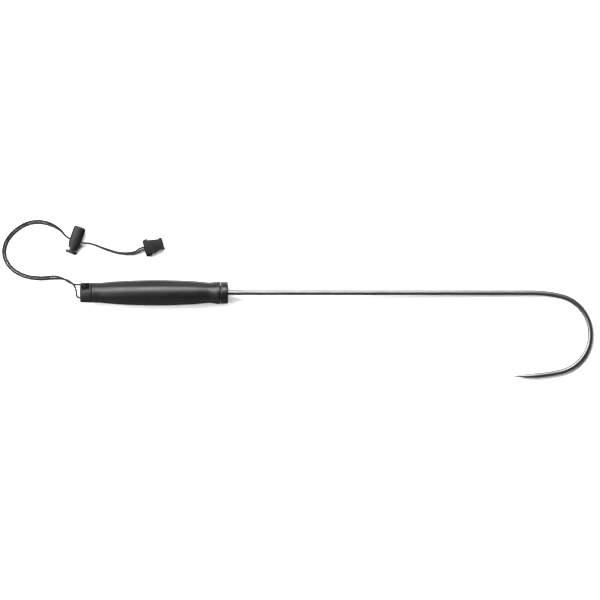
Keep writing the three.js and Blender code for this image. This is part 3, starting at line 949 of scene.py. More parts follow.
class Solid:
    """A closed body in the millimetres of its own place, that can be cut, joined and rounded."""

    def __init__(self, mesh: bpy.types.Mesh) -> None:
        """Hold the mesh in an object, so that modifiers can work on it."""
        self.thing = added("blank", mesh)

    def _settle(self) -> None:
        """Take what the modifiers make as the body's own mesh."""
        graph = bpy.context.evaluated_depsgraph_get()
        made = bpy.data.meshes.new_from_object(self.thing.evaluated_get(graph))
        self.thing.modifiers.clear()
        self.thing.data = made

    def discard(self) -> bpy.types.Mesh:
        """Take the holding object away and hand over the mesh.

        Returns:
            The mesh.
        """
        mesh = self.thing.data
        bpy.data.objects.remove(self.thing)
        return mesh

    def change(self, way: Cut, *others: bpy.types.Mesh) -> "Solid":
        """Cut other bodies away, join them on, or keep only what is within them.

        Args:
            way: which of the three.
            others: the other bodies.

        Returns:
            This body.
        """
        for mesh in others:
            other = Solid(mesh)
            modifier = self.thing.modifiers.new("change", "BOOLEAN")
            modifier.operation = way.value
            modifier.solver = "EXACT"
            modifier.object = other.thing
            self._settle()
            other.discard()
        return self

    def cleaned(self, distance: float) -> "Solid":
        """Merge points that lie closer than a distance.

        Args:
            distance: the distance.

        Returns:
            This body.
        """
        with editing(self.thing.data) as work:
            bmesh.ops.remove_doubles(work, verts=work.verts, dist=distance)
            bmesh.ops.dissolve_degenerate(work, dist=distance, edges=work.edges)
        return self

    def rounded(
        self, width: float, steps: int = 2, sharper_than: float = 40.0, clamped: bool = True
    ) -> "Solid":
        """Round the edges that are sharper than an angle.

        Args:
            width: how far from the edge the rounding starts.
            steps: faces across it.
            sharper_than: the angle, in degrees.
            clamped: make all roundings as narrow as the tightest place asks.

        Returns:
            This body.
        """
        modifier = self.thing.modifiers.new("round", "BEVEL")
        modifier.width = width
        modifier.segments = steps
        modifier.limit_method = "ANGLE"
        modifier.angle_limit = math.radians(sharper_than)
        modifier.use_clamp_overlap = clamped
        self._settle()
        return self


def level_way(angle: float) -> Vector:
    """The level direction at an angle from +X, in radians."""
    return Vector((math.cos(angle), math.sin(angle), 0))


@dataclass
class Place:
    """Where a sub-assembly lies: its axes in the row's frame, in millimetres."""

    origin: Vector
    along: Vector
    up: Vector = field(default_factory=lambda: Vector((0, 0, 1)))

    def matrix(self) -> Matrix:
        """The axes and origin as one matrix.

        Returns:
            The matrix, in millimetres.
        """
        across = self.up.cross(self.along)
        matrix = Matrix((self.along, across, self.up)).transposed().to_4x4()
        matrix.translation = self.origin
        return matrix

    def metres(self, point: Vector) -> Vector:
        """A point of the sub-assembly in the row's frame, in metres."""
        return self.matrix() @ point * MM

    def heading(self, direction: Vector) -> Vector:
        """A direction of the sub-assembly in the row's frame."""
        return self.matrix().to_3x3() @ direction


@dataclass(frozen=True)
class Skin:
    """What a finished piece is called, stands for and looks like.

    Edges less sharp than soft_below are shaded smooth.
    """

    name: str
    node: str
    slot: Slot
    finish: Finish
    body: Body = Body.GAFF
    soft_below: float = 32.0

    def put(self, mesh: bpy.types.Mesh, place: Place) -> bpy.types.Object:
        """Write a mesh into the row's frame and let it ride.

        Args:
            mesh: the piece's mesh, in the millimetres of its place.
            place: where its sub-assembly lies.

        Returns:
            The piece.
        """
        mesh.name = self.name
        mesh.transform(Matrix.Scale(MM, 4) @ place.matrix())
        soft = math.radians(self.soft_below)
        with editing(mesh) as work:
            bmesh.ops.recalc_face_normals(work, faces=work.faces)
            for face in work.faces:
                face.smooth = True
            for edge in work.edges:
                edge.smooth = len(edge.link_faces) == 2 and edge.calc_face_angle() < soft
        mesh.materials.clear()
        mesh.materials.append(self.finish.material())
        piece = added(self.name, mesh)
        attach(piece, self.body.value)
        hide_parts(self.node)
        log.info("%s: %d faces on %s", self.name, len(mesh.polygons), self.body.value)
        return piece


# --- Hook ---


@dataclass
class RodStation:
    """One section of the rod: its place, its heading from +X towards -Y, and its half sizes."""

    x: float
    y: float
    heading: float
    across: float
    up: float


@dataclass
class Hook:
    """A round stainless rod bent into a hook and ground to a needle, with a flattened tang."""

    place: Place
    overall_length: float = 508.0
    rod_radius: float = 2.5
    turns: tuple[tuple[float, float, int], ...] = ((130.0, 13.0, 18), (38.6, 154.5, 98), (170.0, 11.5, 18))
    needle_straight: float = 15.0
    needle_taper: float = 27.0
    tip_radius: float = 0.15
    round_power: float = 1.6
    needle_steps: int = 22
    step_power: float = 1.5
    tang_start: float = 24.0
    tang_length: float = 12.0
    tang_slope: float = 4.0
    slope_steps: int = 6
    tang_half_width: float = 3.6
    tang_half_thickness: float = 1.6
    tang_edge: float = 0.4
    tang_ease: Pair = (0.9, 0.8)
    shank_step: float = 12.0
    sides: int = 40

    def needle_radius(self, left: float) -> float:
        """The rod's radius at a distance from its tip."""
        share = max(1 - left / self.needle_taper, 0.0)
        return self.tip_radius + (self.rod_radius - self.tip_radius) * (1 - share**self.round_power)

    @property
    def tang_end(self) -> float:
        """Where the tang is round again."""
        return self.tang_start + self.tang_length + self.tang_slope

    def stations(self) -> list[RodStation]:
        """Sections from the tang to the tip.

        Returns:
            The sections.
        """
        line = self._tang()
        for extend in (self._shank, self._bend, self._needle):
            extend(line)
        return line

    def _tang(self) -> list[RodStation]:
        """The flat tang, with an eased edge, and the slope from it to the round rod.

        Returns:
            Its sections.
        """
        width, thickness = self.tang_half_width, self.tang_half_thickness
        eased_width, eased_thickness = (width * self.tang_ease[0], thickness * self.tang_ease[1])
        flat_end = self.tang_start + self.tang_length
        line = [
            RodStation(self.tang_start, 0, 0, eased_width, eased_thickness),
            RodStation(self.tang_start + self.tang_edge, 0, 0, width, thickness),
            RodStation(flat_end, 0, 0, width, thickness),
        ]
        for step in range(1, self.slope_steps + 1):
            share = step / self.slope_steps
            ease = share * share * (3 - 2 * share)
            across = width + (self.rod_radius - width) * ease
            up = thickness + (self.rod_radius - thickness) * ease
            line.append(RodStation(flat_end + self.tang_slope * share, 0, 0, across, up))
        return line

    def _shank(self, line: list[RodStation]) -> None:
        """Add the straight shank, as long as the whole gaff's length asks for.

        Args:
            line: the sections so far, which are added to.
        """
        first_radius, first_angle, _ = self.turns[0]
        bend_radius = self.turns[1][0]
        lift = math.sin(math.radians(first_angle))
        end = self.overall_length - self.rod_radius - first_radius * lift - bend_radius * (1 - lift)
        run = end - self.tang_end
        count = round(run / self.shank_step)
        for step in range(1, count + 1):
            x = self.tang_end + run * step / count
            line.append(RodStation(x, 0, 0, self.rod_radius, self.rod_radius))

    def _bend(self, line: list[RodStation]) -> None:
        """Add the shoulder, the bend and the throat, along which the needle's taper starts.

        Args:
            line: the sections so far, which are added to.
        """
        left = self.needle_straight
        left += sum(radius * math.radians(angle) for radius, angle, _ in self.turns)
        for radius, angle, steps in self.turns:
            start = line[-1]
            for step in range(1, steps + 1):
                heading = start.heading + math.radians(angle) * step / steps
                left -= radius * math.radians(angle) / steps
                size = self.needle_radius(left)
                x = start.x + radius * (math.sin(heading) - math.sin(start.heading))
                y = start.y - radius * (math.cos(start.heading) - math.cos(heading))
                line.append(RodStation(x, y, heading, size, size))

    def _needle(self, line: list[RodStation]) -> None:
        """Add the straight end of the needle, its sections closer towards the tip.

        Args:
            line: the sections so far, which are added to.
        """
        last = line[-1]
        for step in range(1, self.needle_steps + 1):
            share = 1 - (1 - step / self.needle_steps) ** self.step_power
            reach = share * self.needle_straight
            size = self.needle_radius(self.needle_straight - reach)
            x = last.x + reach * math.cos(last.heading)
            y = last.y - reach * math.sin(last.heading)
            line.append(RodStation(x, y, last.heading, size, size))

    def section(self, station: RodStation, room: float = 0.0) -> list[Vector]:
        """The ring of one station, with some room all round.

        Args:
            station: the station.
            room: how much larger than the rod it is.

        Returns:
            The ring's points.
        """
        s, c = math.sin(station.heading), math.cos(station.heading)
        ring = []
        for angle in ring_angles(self.sides):
            out = (station.across + room) * math.cos(angle)
            rise = (station.up + room) * math.sin(angle)
            ring.append(Vector((station.x + out * s, station.y + out * c, rise)))
        return ring

    def tang_hole(self, front: float) -> bpy.types.Mesh:
        """The hole that the rod is moulded into, up to a place in front of the handle.

        Args:
            front: the place where it ends.

        Returns:
            The cutter.
        """
        line = [*self._tang(), RodStation(front, 0, 0, self.rod_radius, self.rod_radius)]
        rings = [self.section(station, GAP) for station in line]
        rings[0] = [point - Vector((GAP, 0, 0)) for point in rings[0]]
        return loft(rings, [ring[0].x for ring in rings])

    def build(self) -> None:
        """Make the rod and dress it."""
        line = self.stations()
        along = [0.0]
        for a, b in zip(line, line[1:]):
            along.append(along[-1] + math.hypot(b.x - a.x, b.y - a.y))
        mesh = loft([self.section(station) for station in line], along)
        Skin("gaff_rod", "gaff_hook", Slot.HOOK, STEEL).put(mesh, self.place)


# --- Handle ---


@dataclass
class CordSlot:
    """The slanted slot through the butt, with the saddle bar that the cord turns round."""

    width: float = 7.4
    back: float = 9.3
    saddle: float = 4.25
    strand_reach: float = 8.4
    bend_radius: float = 4.4
    saddle_steps: int = 8
    turn_steps: int = 14
    shift: float = 2.0
    tilt: float = 50.0
    flare_floor: Pair = (7.1, 8.2)
    flare_reach: float = 8.0
    flare_inset: float = 0.4

    def point(self, x: float, reach: float, shift: float) -> Vector:
        """A point from its place along the handle, its reach from the axis and its shift across."""
        s, c = math.sin(math.radians(self.tilt)), math.cos(math.radians(self.tilt))
        return Vector((x, reach * s + shift * c, reach * c - shift * s))

    def strand(self, x: float, reach: float) -> Vector:
        """A point on the cord's own plane in the slot."""
        return self.point(x, reach, self.shift)

    def saddle_round(self) -> tuple[float, Pair]:
        """The radius of the saddle's corners, and the middle of the upper one."""
        radius = self.bend_radius - CORD_RADIUS - GAP
        return radius, (self.saddle - radius, self.strand_reach - self.bend_radius)

    def across(self, outline: Sequence[Pair], first: float, last: float) -> bpy.types.Mesh:
        """A cutter with an outline of places and reaches, from one shift to another."""
        rings = [[self.point(x, reach, shift) for x, reach in outline] for shift in (first, last)]
        return loft(rings, [0.0, abs(last - first)])

    def cutter(self, reach: float) -> bpy.types.Mesh:
        """The slot, saddle and channels as one body to cut away, out to a reach from the axis.

        Args:
            reach: how far from the axis it goes.

        Returns:
            The cutter.
        """
        radius, (x, middle) = self.saddle_round()
        floor = middle + radius
        outline = [(-OVERRUN, -reach), (self.back, -reach), (self.back, reach), (-OVERRUN, reach)]
        outline.append((-OVERRUN, floor))
        outline += arc((x, middle), radius, 90, 0, self.saddle_steps)
        outline += arc((x, -middle), radius, 0, -90, self.saddle_steps)
        outline.append((-OVERRUN, -floor))
        return self.across(outline, self.width / 2, -self.width / 2)

    def flare(self, reach: float) -> bpy.types.Mesh:
        """The hollow that widens the slot's upper mouth beside the cord, shallower away from the end.

        Args:
            reach: how far from the axis it goes.

        Returns:
            The cutter.
        """
        near, far = self.flare_floor
        outline = [(-OVERRUN, near), (0.0, near), (self.back, far), (self.back, reach), (-OVERRUN, reach)]
        return self.across(outline, self.flare_inset - self.width / 2, -self.flare_reach)

    def cord_line(self) -> list[Vector]:
        """The cord's turn, from one channel round the saddle to the other.

        Returns:
            Points along it.
        """
        _, (x, middle) = self.saddle_round()
        half = [(0.0, self.strand_reach)]
        half += arc((x, middle), self.bend_radius, 90, 0, self.turn_steps)
        back = [(x, -reach) for x, reach in reversed(half)]
        return [self.strand(x, reach) for x, reach in half + back]


@dataclass
class HandleCore:
    """The hard core: butt flange with its cord slot, ribbed spine and front collar."""

    place: Place
    hook: Hook
    slot: CordSlot
    length: float = 146.0
    butt_radius: float = 9.9
    butt_edge: float = 0.8
    butt_inner_radius: float = 4.455
    flange_length: float = 11.4
    flange_radius: float = 9.95
    flange_edge: Pair = (0.3, 0.25)
    spine_radius: float = 6.4
    rib_radius: float = 7.5
    rib_width: float = 4.0
    rib_slope: float = 1.0
    ribs: int = 5
    collar_length: float = 7.3
    collar_radius: float = 11.1
    collar_back_edge: float = 0.25
    collar_front_radius: float = 10.85
    collar_edge: float = 1.2
    hub_radius: float = 3.9
    hub_depth: float = 0.35
    hub_slope: float = 0.5
    axis_radius: float = 0.02
    merged_within: float = 0.12
    cut_edge: float = 0.22
    sides: int = 96

    def spine(self, room: float = 0.0) -> list[Pair]:
        """The ribs' profile, with some room.

        Args:
            room: how much larger than the ribs it is.

        Returns:
            Places and radii.
        """
        profile = []
        pitch = (self.length - self.collar_length - self.flange_length) / self.ribs
        half = self.rib_width / 2 + room
        for rib in range(self.ribs):
            middle = self.flange_length + pitch * (rib + 0.5)
            for off, radius in (
                (-half - self.rib_slope, self.spine_radius),
                (-half, self.rib_radius),
                (half, self.rib_radius),
                (half + self.rib_slope, self.spine_radius),
            ):
                profile.append((middle + off, radius + room))
        return profile

    def profile(self) -> list[Pair]:
        """The whole core's profile, from the middle of the butt to the middle of the front face.

        Returns:
            Places and radii.
        """
        collar_start = self.length - self.collar_length
        back_edge = self.collar_back_edge
        flange_back, flange_drop = self.flange_edge
        butt = arc((self.butt_edge, self.butt_radius - self.butt_edge), self.butt_edge, 180, 90, steps=5)
        front_centre = (self.length - self.collar_edge, self.collar_front_radius - self.collar_edge)
        front = arc(front_centre, self.collar_edge, 90, 0, steps=8)
        return [
            (0.0, self.axis_radius),
            (0.0, self.butt_inner_radius),
            *butt,
            (self.flange_length - flange_back, self.flange_radius),
            (self.flange_length, self.flange_radius - flange_drop),
            (self.flange_length, self.spine_radius),
            *self.spine(),
            (collar_start, self.spine_radius),
            (collar_start, self.collar_radius - back_edge),
            (collar_start + back_edge, self.collar_radius),
            *front,
            (self.length, self.hub_radius + self.hub_slope),
            (self.length - self.hub_depth, self.hub_radius),
            (self.length - self.hub_depth, self.axis_radius),
        ]

    def build(self) -> None:
        """Turn the core, and cut the cord's slot and the rod's hole."""
        solid = Solid(turned(self.profile(), self.sides))
        reach = self.butt_radius + 2 * OVERRUN
        solid.change(Cut.AWAY, self.slot.cutter(reach), self.slot.flare(reach))
        solid.change(Cut.AWAY, self.hook.tang_hole(self.length + OVERRUN))
        solid.cleaned(self.merged_within).rounded(self.cut_edge, clamped=False)
        skin = Skin("handle_moulding", "handle_core", Slot.CORE, CORE_PLASTIC, soft_below=34.0)
        skin.put(solid.discard(), self.place)


@dataclass
class Grip:
    """The soft grip: a bellied round body with four long flats, moulded over the core."""

    place: Place
    core: HandleCore
    width: float = 25.5
    outline_shares: tuple[Pair, ...] = (
        (0.0, 0.785), (0.062, 0.793), (0.12, 0.85), (0.201, 0.911), (0.3, 0.959),
        (0.44, 0.996), (0.54, 1.0), (0.64, 0.98), (0.74, 0.944), (0.82, 0.898),
        (0.872, 0.842), (0.912, 0.808), (0.949, 0.842), (0.982, 0.888), (1.0, 0.874),
    )
    flats: tuple[float, ...] = (45.5, 142.5, 225.5, 322.5)
    flat_depth: float = 0.4
    flat_edge: float = 0.05
    flat_run: Pair = (0.06, 0.93)
    flat_margin: float = 1.5
    fade_power: float = 0.55
    crest_width: float = 0.9
    section_points: int = 180
    rings: int = 130
    lip_round: float = 0.5
    lip_steps: int = 4

    def section(self, radius: float, depth: float) -> tuple[list[Pair], list[float]]:
        """One section across the handle.

        Args:
            radius: the radius of the round body.
            depth: how deep the middle of each flat lies under it.

        Returns:
            The section's points, and how near each is to the edge of a flat.
        """
        half = math.acos(1 - depth / radius)
        ring = []
        crest = []
        for point in reversed(range(self.section_points)):
            angle = 360 * point / self.section_points
            reach, near = radius, 0.0
            for flat in self.flats:
                off = math.radians((angle - flat + 180) % 360 - 180)
                if depth > 0 and abs(off) < half * self.flat_margin:
                    reach = smooth_min(radius, (radius - depth) / math.cos(off), self.flat_edge)
                    near = max(0.0, 1 - abs(abs(off) - half) * radius / self.crest_width)
                    near *= min(depth / self.flat_depth, 1.0)
            ring.append((reach * math.sin(math.radians(angle)), reach * math.cos(math.radians(angle))))
            crest.append(near)
        return ring, crest

    def stations(self) -> list[Triple]:
        """Place, radius and depth of the flats along the grip.

        Returns:
            The place, radius and depth of each section.
        """
        start = self.core.flange_length + GAP
        length = self.core.length - self.core.collar_length - GAP - start
        half = self.width / 2
        points = [Vector((share * length, out * half)) for share, out in self.outline_shares]
        run_start, run_end = self.flat_run
        stations = []
        for point in evenly(eased(points), length / self.rings):
            run = (point.x / length - run_start) / (run_end - run_start)
            fade = math.sin(math.pi * run) ** self.fade_power if 0 < run < 1 else 0.0
            stations.append((start + point.x, point.y, fade * self.flat_depth * point.y / half))
        return stations

    def build(self) -> None:
        """Loft the grip with its bore and dress it."""
        stations = self.stations()
        (start, start_radius, _), (end, end_radius, _) = stations[0], stations[-1]
        lip, steps = self.lip_round, self.lip_steps
        start_round = arc((start + lip, start_radius - lip), lip, 180, 90, steps)
        end_round = arc((end - lip, end_radius - lip), lip, 90, 0, steps)
        bore_radius = self.core.spine_radius + GAP
        bore = [(start, bore_radius), *self.core.spine(GAP), (end, bore_radius)]
        outer = [(x, radius, 0.0) for x, radius in start_round]
        outer += [station for station in stations if start + lip < station[0] < end - lip]
        line = outer + [(x, radius, 0.0) for x, radius in (*end_round, *reversed(bore))]
        rings: list[list[Vector]] = []
        crests: list[list[float]] = []
        for x, radius, depth in line:
            ring, crest = self.section(radius, depth)
            rings.append([Vector((x, y, z)) for y, z in ring])
            crests.append(crest)
        mesh = loft(rings, [x for x, _, _ in line], endless=True, crest=crests)
        skin = Skin("grip_moulding", "grip_sleeve", Slot.GRIP, GRIP_RUBBER, soft_below=50.0)
        skin.put(mesh, self.place)


# --- Wrist cord ---


@dataclass
class Braid:
    """The relief of the cord: right- and left-hand yarns that cross over and under."""

    relief: float = 0.09
    hidden: float = 0.45
    yarns: int = CORD_BRAID.yarns
    lead: float = CORD_BRAID.lead
    sides: int = 24
    pitch: float = 0.24

    def reach(self, along: float, share: float) -> float:
        """The radius at a distance along and a share of a turn.

        Args:
            along: the distance along the cord.
            share: the share of a turn round it.

        Returns:
            The radius.
        """
        right = self.yarns * (share + along / self.lead)
        left = self.yarns * (share - along / self.lead)
        over = (math.floor(right) + math.floor(left)) % 2 > 0
        crown = abs(math.sin(math.pi * (right if over else left)))
        dip = abs(math.sin(math.pi * (left if over else right)))
        return CORD_RADIUS - self.relief * (1 - crown * (1 - self.hidden + self.hidden * dip))

    def lay(
        self, name: str, node: str, points: Sequence[Vector], place: Place, domed: float = 0.0
    ) -> tuple[bpy.types.Object, list[Vector]]:
        """Lay a piece of cord.

        Args:
            name: the piece's name.
            node: the node that it stands for.
            points: points along it, in the millimetres of its place.
            place: where those lie.
            domed: how far its ends are rounded off.

        Returns:
            The piece, and the line that it follows.
        """
        line = evenly(points, self.pitch)
        mesh = tube(line, self.reach, self.sides, domed)
        return Skin(name, node, Slot.CORD, CORD_BRAID, soft_below=80.0).put(mesh, place), line


@dataclass
class WristCord:
    """Both free strands of the cord and its turn in the butt."""

    place: Place
    gaff: Place
    slot: CordSlot
    braid: Braid = field(default_factory=Braid)
    spacing: float = 2.4
    domed: float = 0.3
    path_step: int = 4
    upper_length: float = 0.262
    lower_length: float = 0.275
    upper_lead: tuple[Triple, ...] = (
        (-4.4, 7.95, 17.6), (-8.5, 9, 16), (-13, 11.3, 12.8),
        (-18.1, 14.2, 8.8), (-23.8, 16, 5.1), (-29.8, 16.3, 2.5),
    )
    lower_lead: tuple[Triple, ...] = (
        (-2.7, -4.75, 6.95), (-3.9, -3.6, 6.85), (-4.5, -2.05, 6.7),
        (-4.75, 1.2, 6.3), (-5.8, 5, 5.5), (-8.6, 9, 4.3),
        (-13.3, 12.2, 3.1), (-19.8, 13.8, 2.05), (-26.6, 13.9, 1.35),
    )
    pair: tuple[tuple[float, float, float, float], ...] = (
        (-36.61, 14.4, 1.15, 0), (-44.23, 14.48, 1.15, 0), (-52.11, 15.41, 1.15, 0),
        (-59.53, 17.83, 1.15, 0), (-66.56, 21.77, 1.15, 0), (-72.38, 27.56, 1.15, 0),
        (-76.09, 34.89, 1.15, 0), (-76.7, 43.2, 1.15, 0), (-74.27, 51.19, 1.15, 0),
        (-69.42, 57.95, 1.15, 0), (-63.22, 63.49, 1.15, 0), (-56.08, 67.68, 1.15, 0),
        (-48.28, 69.9, 1.15, 0), (-40.32, 70.15, 1.4, 8), (-32.72, 68.54, 1.8, 26),
        (-25.65, 65.34, 2.5, 52), (-19.85, 61.2, 3.6, 76), (-16.3, 57.3, 4.9, 88),
        (-13.29, 54.68, 5.5, 90), (-5.65, 51.95, 5.5, 90), (1.99, 49.22, 5.5, 90),
        (7.61, 49, 5, 90), (13.25, 47.52, 3.9, 88), (19.16, 45.19, 2.8, 80),
        (26.01, 42.58, 2.3, 72), (33.08, 40.37, 2.3, 72), (40.37, 39.05, 2.2, 66),
        (47.41, 38.8, 2.2, 44), (53.84, 39.8, 2.9, 20), (58.55, 42.74, 4, 2),
        (62.6, 43.86, 4.2, 0), (67.42, 45.2, 4.2, 0),
    )
    lock_index: int = 19
    end_index: int = 30

    def pair_place(self, index: int) -> Place:
        """The pair's place on the table at one of its points, along its heading."""
        (ax, ay, *_), (x, y, *_), (bx, by, *_) = self.pair[index - 1:index + 2]
        return Place(self.place.origin + Vector((x, y, 0)), level_way(math.atan2(by - ay, bx - ax)))

    def route(self, reach: float, lead: Sequence[Triple], side: int) -> list[Vector]:
        """The points that one strand passes, in the cord's own axes.

        Args:
            reach: the strand's reach in the slot.
            lead: its own points between the handle and the pair.
            side: 1 or -1, its side of the pair.

        Returns:
            The points.
        """
        back = Matrix.Translation(-self.place.origin) @ self.gaff.matrix()
        leaving = self.gaff.heading(Vector((-1, 0, 0)))
        start = back @ self.slot.strand(0, reach)
        points = [start, start + leaving * CORD_RADIUS, *(Vector(place) for place in lead)]
        last = len(self.pair) - 1
        for index, (x, y, z, roll) in enumerate(self.pair):
            before, after = self.pair[max(index - 1, 0)], self.pair[min(index + 1, last)]
            way = Vector((after[0] - before[0], after[1] - before[1])).normalized()
            out = side * self.spacing * math.cos(math.radians(roll)) / 2
            rise = side * self.spacing * math.sin(math.radians(roll)) / 2
            points.append(Vector((x + out * way.y, y - out * way.x, z + rise)))
        return points

    def build_turn(self) -> None:
        """Lay the cord's turn round the saddle."""
        self.braid.lay("cord_turn", "cord_bight", self.slot.cord_line(), self.gaff)

    def build(self, pieces: Sequence[bpy.types.Object]) -> None:
        """Args:
            pieces: the pieces of the cord lock and the cord end; not used.
        """
        reach = self.slot.strand_reach
        for name, node, side, lead, length in (
            ("strand_upper", "cord_upper", 1, self.upper_lead, self.upper_length),
            ("strand_lower", "cord_lower", -1, self.lower_lead, self.lower_length),
        ):
            points = eased(self.route(side * reach, lead, side))
            piece, line = self.braid.lay(name, node, points, self.place, self.domed)
            line = [tuple(self.place.metres(point)) for point in line]
            line[::self.path_step] + line[-1:]


# --- Cord lock ---


@dataclass
class CordLock:
    """A barrel with a cross hole, a sprung plunger with its button, and the spring behind it.

    Its axis is Y, from the closed end to the button, and Z is up.
    """

    place: Place
    length: float = 22.8
    width: float = 12.1
    height: float = 11.0
    mouth: Pair = (9.6, 10.2)
    end_wall: float = 1.8
    end_round: float = 2.4
    squareness: float = 2.7
    outline: tuple[Pair, ...] = ((0.34, 0), (0.6, 0.02), (0.76, 0.16), (0.89, 0.72), (0.96, 0.98), (1, 1))
    outline_steps: int = 5
    cord_place: float = 14.3
    cord_room: float = 1.2
    hole_height: float = 5.1
    hole_round: float = 0.9
    plunger: Pair = (5.7, 7.8)
    plunger_squareness: float = 3.2
    plunger_edge: float = 0.3
    web: float = 1.4
    travel: float = 2.1
    spigot_radius: float = 1.3
    spigot_length: float = 3.0
    spigot_edge: float = 0.25
    button_gap: float = 2.4
    button: Triple = (11.4, 9.8, 3.1)
    button_edge: float = 0.5
    spring_diameter: float = 4.4
    spring_wire: float = 0.6
    spring_curls: int = 6
    curl_steps: int = 28
    wire_sides: int = 14
    spring_keep: float = 0.77
    merged_within: float = 0.03
    cut_edge: float = 0.22
    sides: int = 56

    @property
    def shoulder(self) -> float:
        """Where the plunger's inner end is."""
        return self.cord_place - CORD_RADIUS - GAP - self.web

    def ring(self, place: float, half: Pair, squareness: float, inset: float = 0.0) -> list[Vector]:
        """A rounded oblong across the axis, from its half width and half height."""
        plan = oval(half[0] - inset, half[1] - inset, squareness, self.sides)
        return [Vector((x, place, z)) for x, z in reversed(plan)]

    def rounds(
        self, start: float, end: float, half: Pair, edge: float, squareness: float
    ) -> bpy.types.Mesh:
        """A block with an oblong section, its edges rounded at both ends.

        Args:
            start: where it starts.
            end: where it ends.
            half: its half width and half height.
            edge: the radius of its edges.
            squareness: how full its corners are.

        Returns:
            The mesh.
        """
        corner = quarter_round(edge, steps=4)
        sizes = [(start + back, inset) for back, inset in reversed(corner)]
        sizes += [(end - back, inset) for back, inset in corner]
        rings = [self.ring(place, half, squareness, inset) for place, inset in sizes]
        return loft(rings, [place for place, _ in sizes])

    def cross_hole(self, start: float, end: float) -> bpy.types.Mesh:
        """The hole across the lock for the stacked pair, with rounded corners.

        Args:
            start: where the hole starts along the axis.
            end: where it ends.

        Returns:
            The cutter.
        """
        outline = rounded_outline(rectangle(start, end, self.hole_height / 2), self.hole_round)
        rings = [[Vector((x, y, z)) for y, z in outline] for x in (-self.width, self.width)]
        return loft(rings, [0.0, 2 * self.width])

    def barrel(self) -> bpy.types.Mesh:
        """The barrel, hollow, with its cross hole.

        Returns:
            The mesh.
        """
        half = (self.width / 2, self.height / 2)
        rings, places = [], []
        for back, inset in reversed(quarter_round(self.end_round, steps=8)):
            rings.append(self.ring(back, half, self.squareness, inset))
            places.append(back)
        narrower = [(whole - open_end) / 2 for whole, open_end in zip((self.width, self.height), self.mouth)]
        knots = [Vector((share * self.length, narrowing)) for share, narrowing in self.outline]
        for point in eased(knots, self.outline_steps):
            size = (half[0] - point.y * narrower[0], half[1] - point.y * narrower[1])
            rings.append(self.ring(point.x, size, self.squareness))
            places.append(point.x)
        bore_half = (self.plunger[0] / 2 + GAP, self.plunger[1] / 2 + GAP)
        bore_places = (self.end_wall, self.length + OVERRUN)
        bore_rings = [self.ring(place, bore_half, self.plunger_squareness) for place in bore_places]
        bore = loft(bore_rings, bore_places)
        hole = self.cross_hole(
            self.cord_place - CORD_RADIUS - self.cord_room, self.cord_place + CORD_RADIUS + GAP
        )
        solid = Solid(loft(rings, places)).change(Cut.AWAY, bore, hole)
        return solid.cleaned(self.merged_within).rounded(self.cut_edge).discard()

    def plunger_mesh(self) -> bpy.types.Mesh:
        """The plunger with its web, slot, spigot and button.

        Returns:
            The mesh.
        """
        start = self.length + self.button_gap
        width, height, depth = self.button
        half = (self.plunger[0] / 2, self.plunger[1] / 2)
        stem = self.rounds(self.shoulder, start + depth / 2, half, self.plunger_edge, self.plunger_squareness)
        button_half = (width / 2, height / 2)
        button = self.rounds(start, start + depth, button_half, self.button_edge, self.squareness)
        spigot_half = (self.spigot_radius, self.spigot_radius)
        spigot_start = self.shoulder - self.spigot_length
        spigot = self.rounds(spigot_start, self.shoulder + self.web / 2, spigot_half, self.spigot_edge, 2.0)
        slot_end = self.cord_place + CORD_RADIUS + GAP + self.travel
        solid = Solid(stem).change(Cut.WITH, button, spigot)
        solid.change(Cut.AWAY, self.cross_hole(self.cord_place - CORD_RADIUS - GAP, slot_end))
        return solid.cleaned(self.merged_within).discard()

    def spring_line(self) -> list[Vector]:
        """The spring's wire, with a straight run of one wire diameter at each end.

        Returns:
            Points along the wire.
        """
        radius = (self.spring_diameter - self.spring_wire) / 2
        start = self.end_wall + GAP + self.spring_wire / 2
        run = self.shoulder - GAP - self.spring_wire / 2 - start
        steps = self.spring_curls * self.curl_steps
        line = []
        for step in range(steps + 1):
            angle = 2 * math.pi * step / self.curl_steps
            place = start + run * step / steps
            line.append(Vector((radius * math.cos(angle), place, radius * math.sin(angle))))
        tail = Vector((0, 0, self.spring_wire))
        return [line[0] - tail, *line, line[-1] + tail]

    def build(self) -> list[bpy.types.Object]:
        """Make the barrel, the plunger and the spring.

        Returns:
            The pieces.
        """
        plastic = (Slot.LOCK, LOCK_PLASTIC)
        barrel = Skin("lock_barrel", "cord_lock_body", *plastic).put(self.barrel(), self.place)
        plunger = Skin("lock_plunger", "cord_lock_plunger", *plastic, Body.BUTTON)
        plunger = plunger.put(self.plunger_mesh(), self.place)
        radius = self.spring_wire / 2
        wire = tube(self.spring_line(), lambda along, share: radius, self.wire_sides, radius / 2)
        spring = Skin("lock_spring", "cord_lock_spring", Slot.SPRING, WIRE, soft_below=60.0)
        spring = spring.put(wire, self.place)
        tuple(self.place.heading(Vector((0, 1, 0))))
        tuple(self.place.metres(Vector((0, self.end_wall + GAP, 0))))
        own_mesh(spring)
        return [barrel, plunger, spring]


# --- Cord end ---


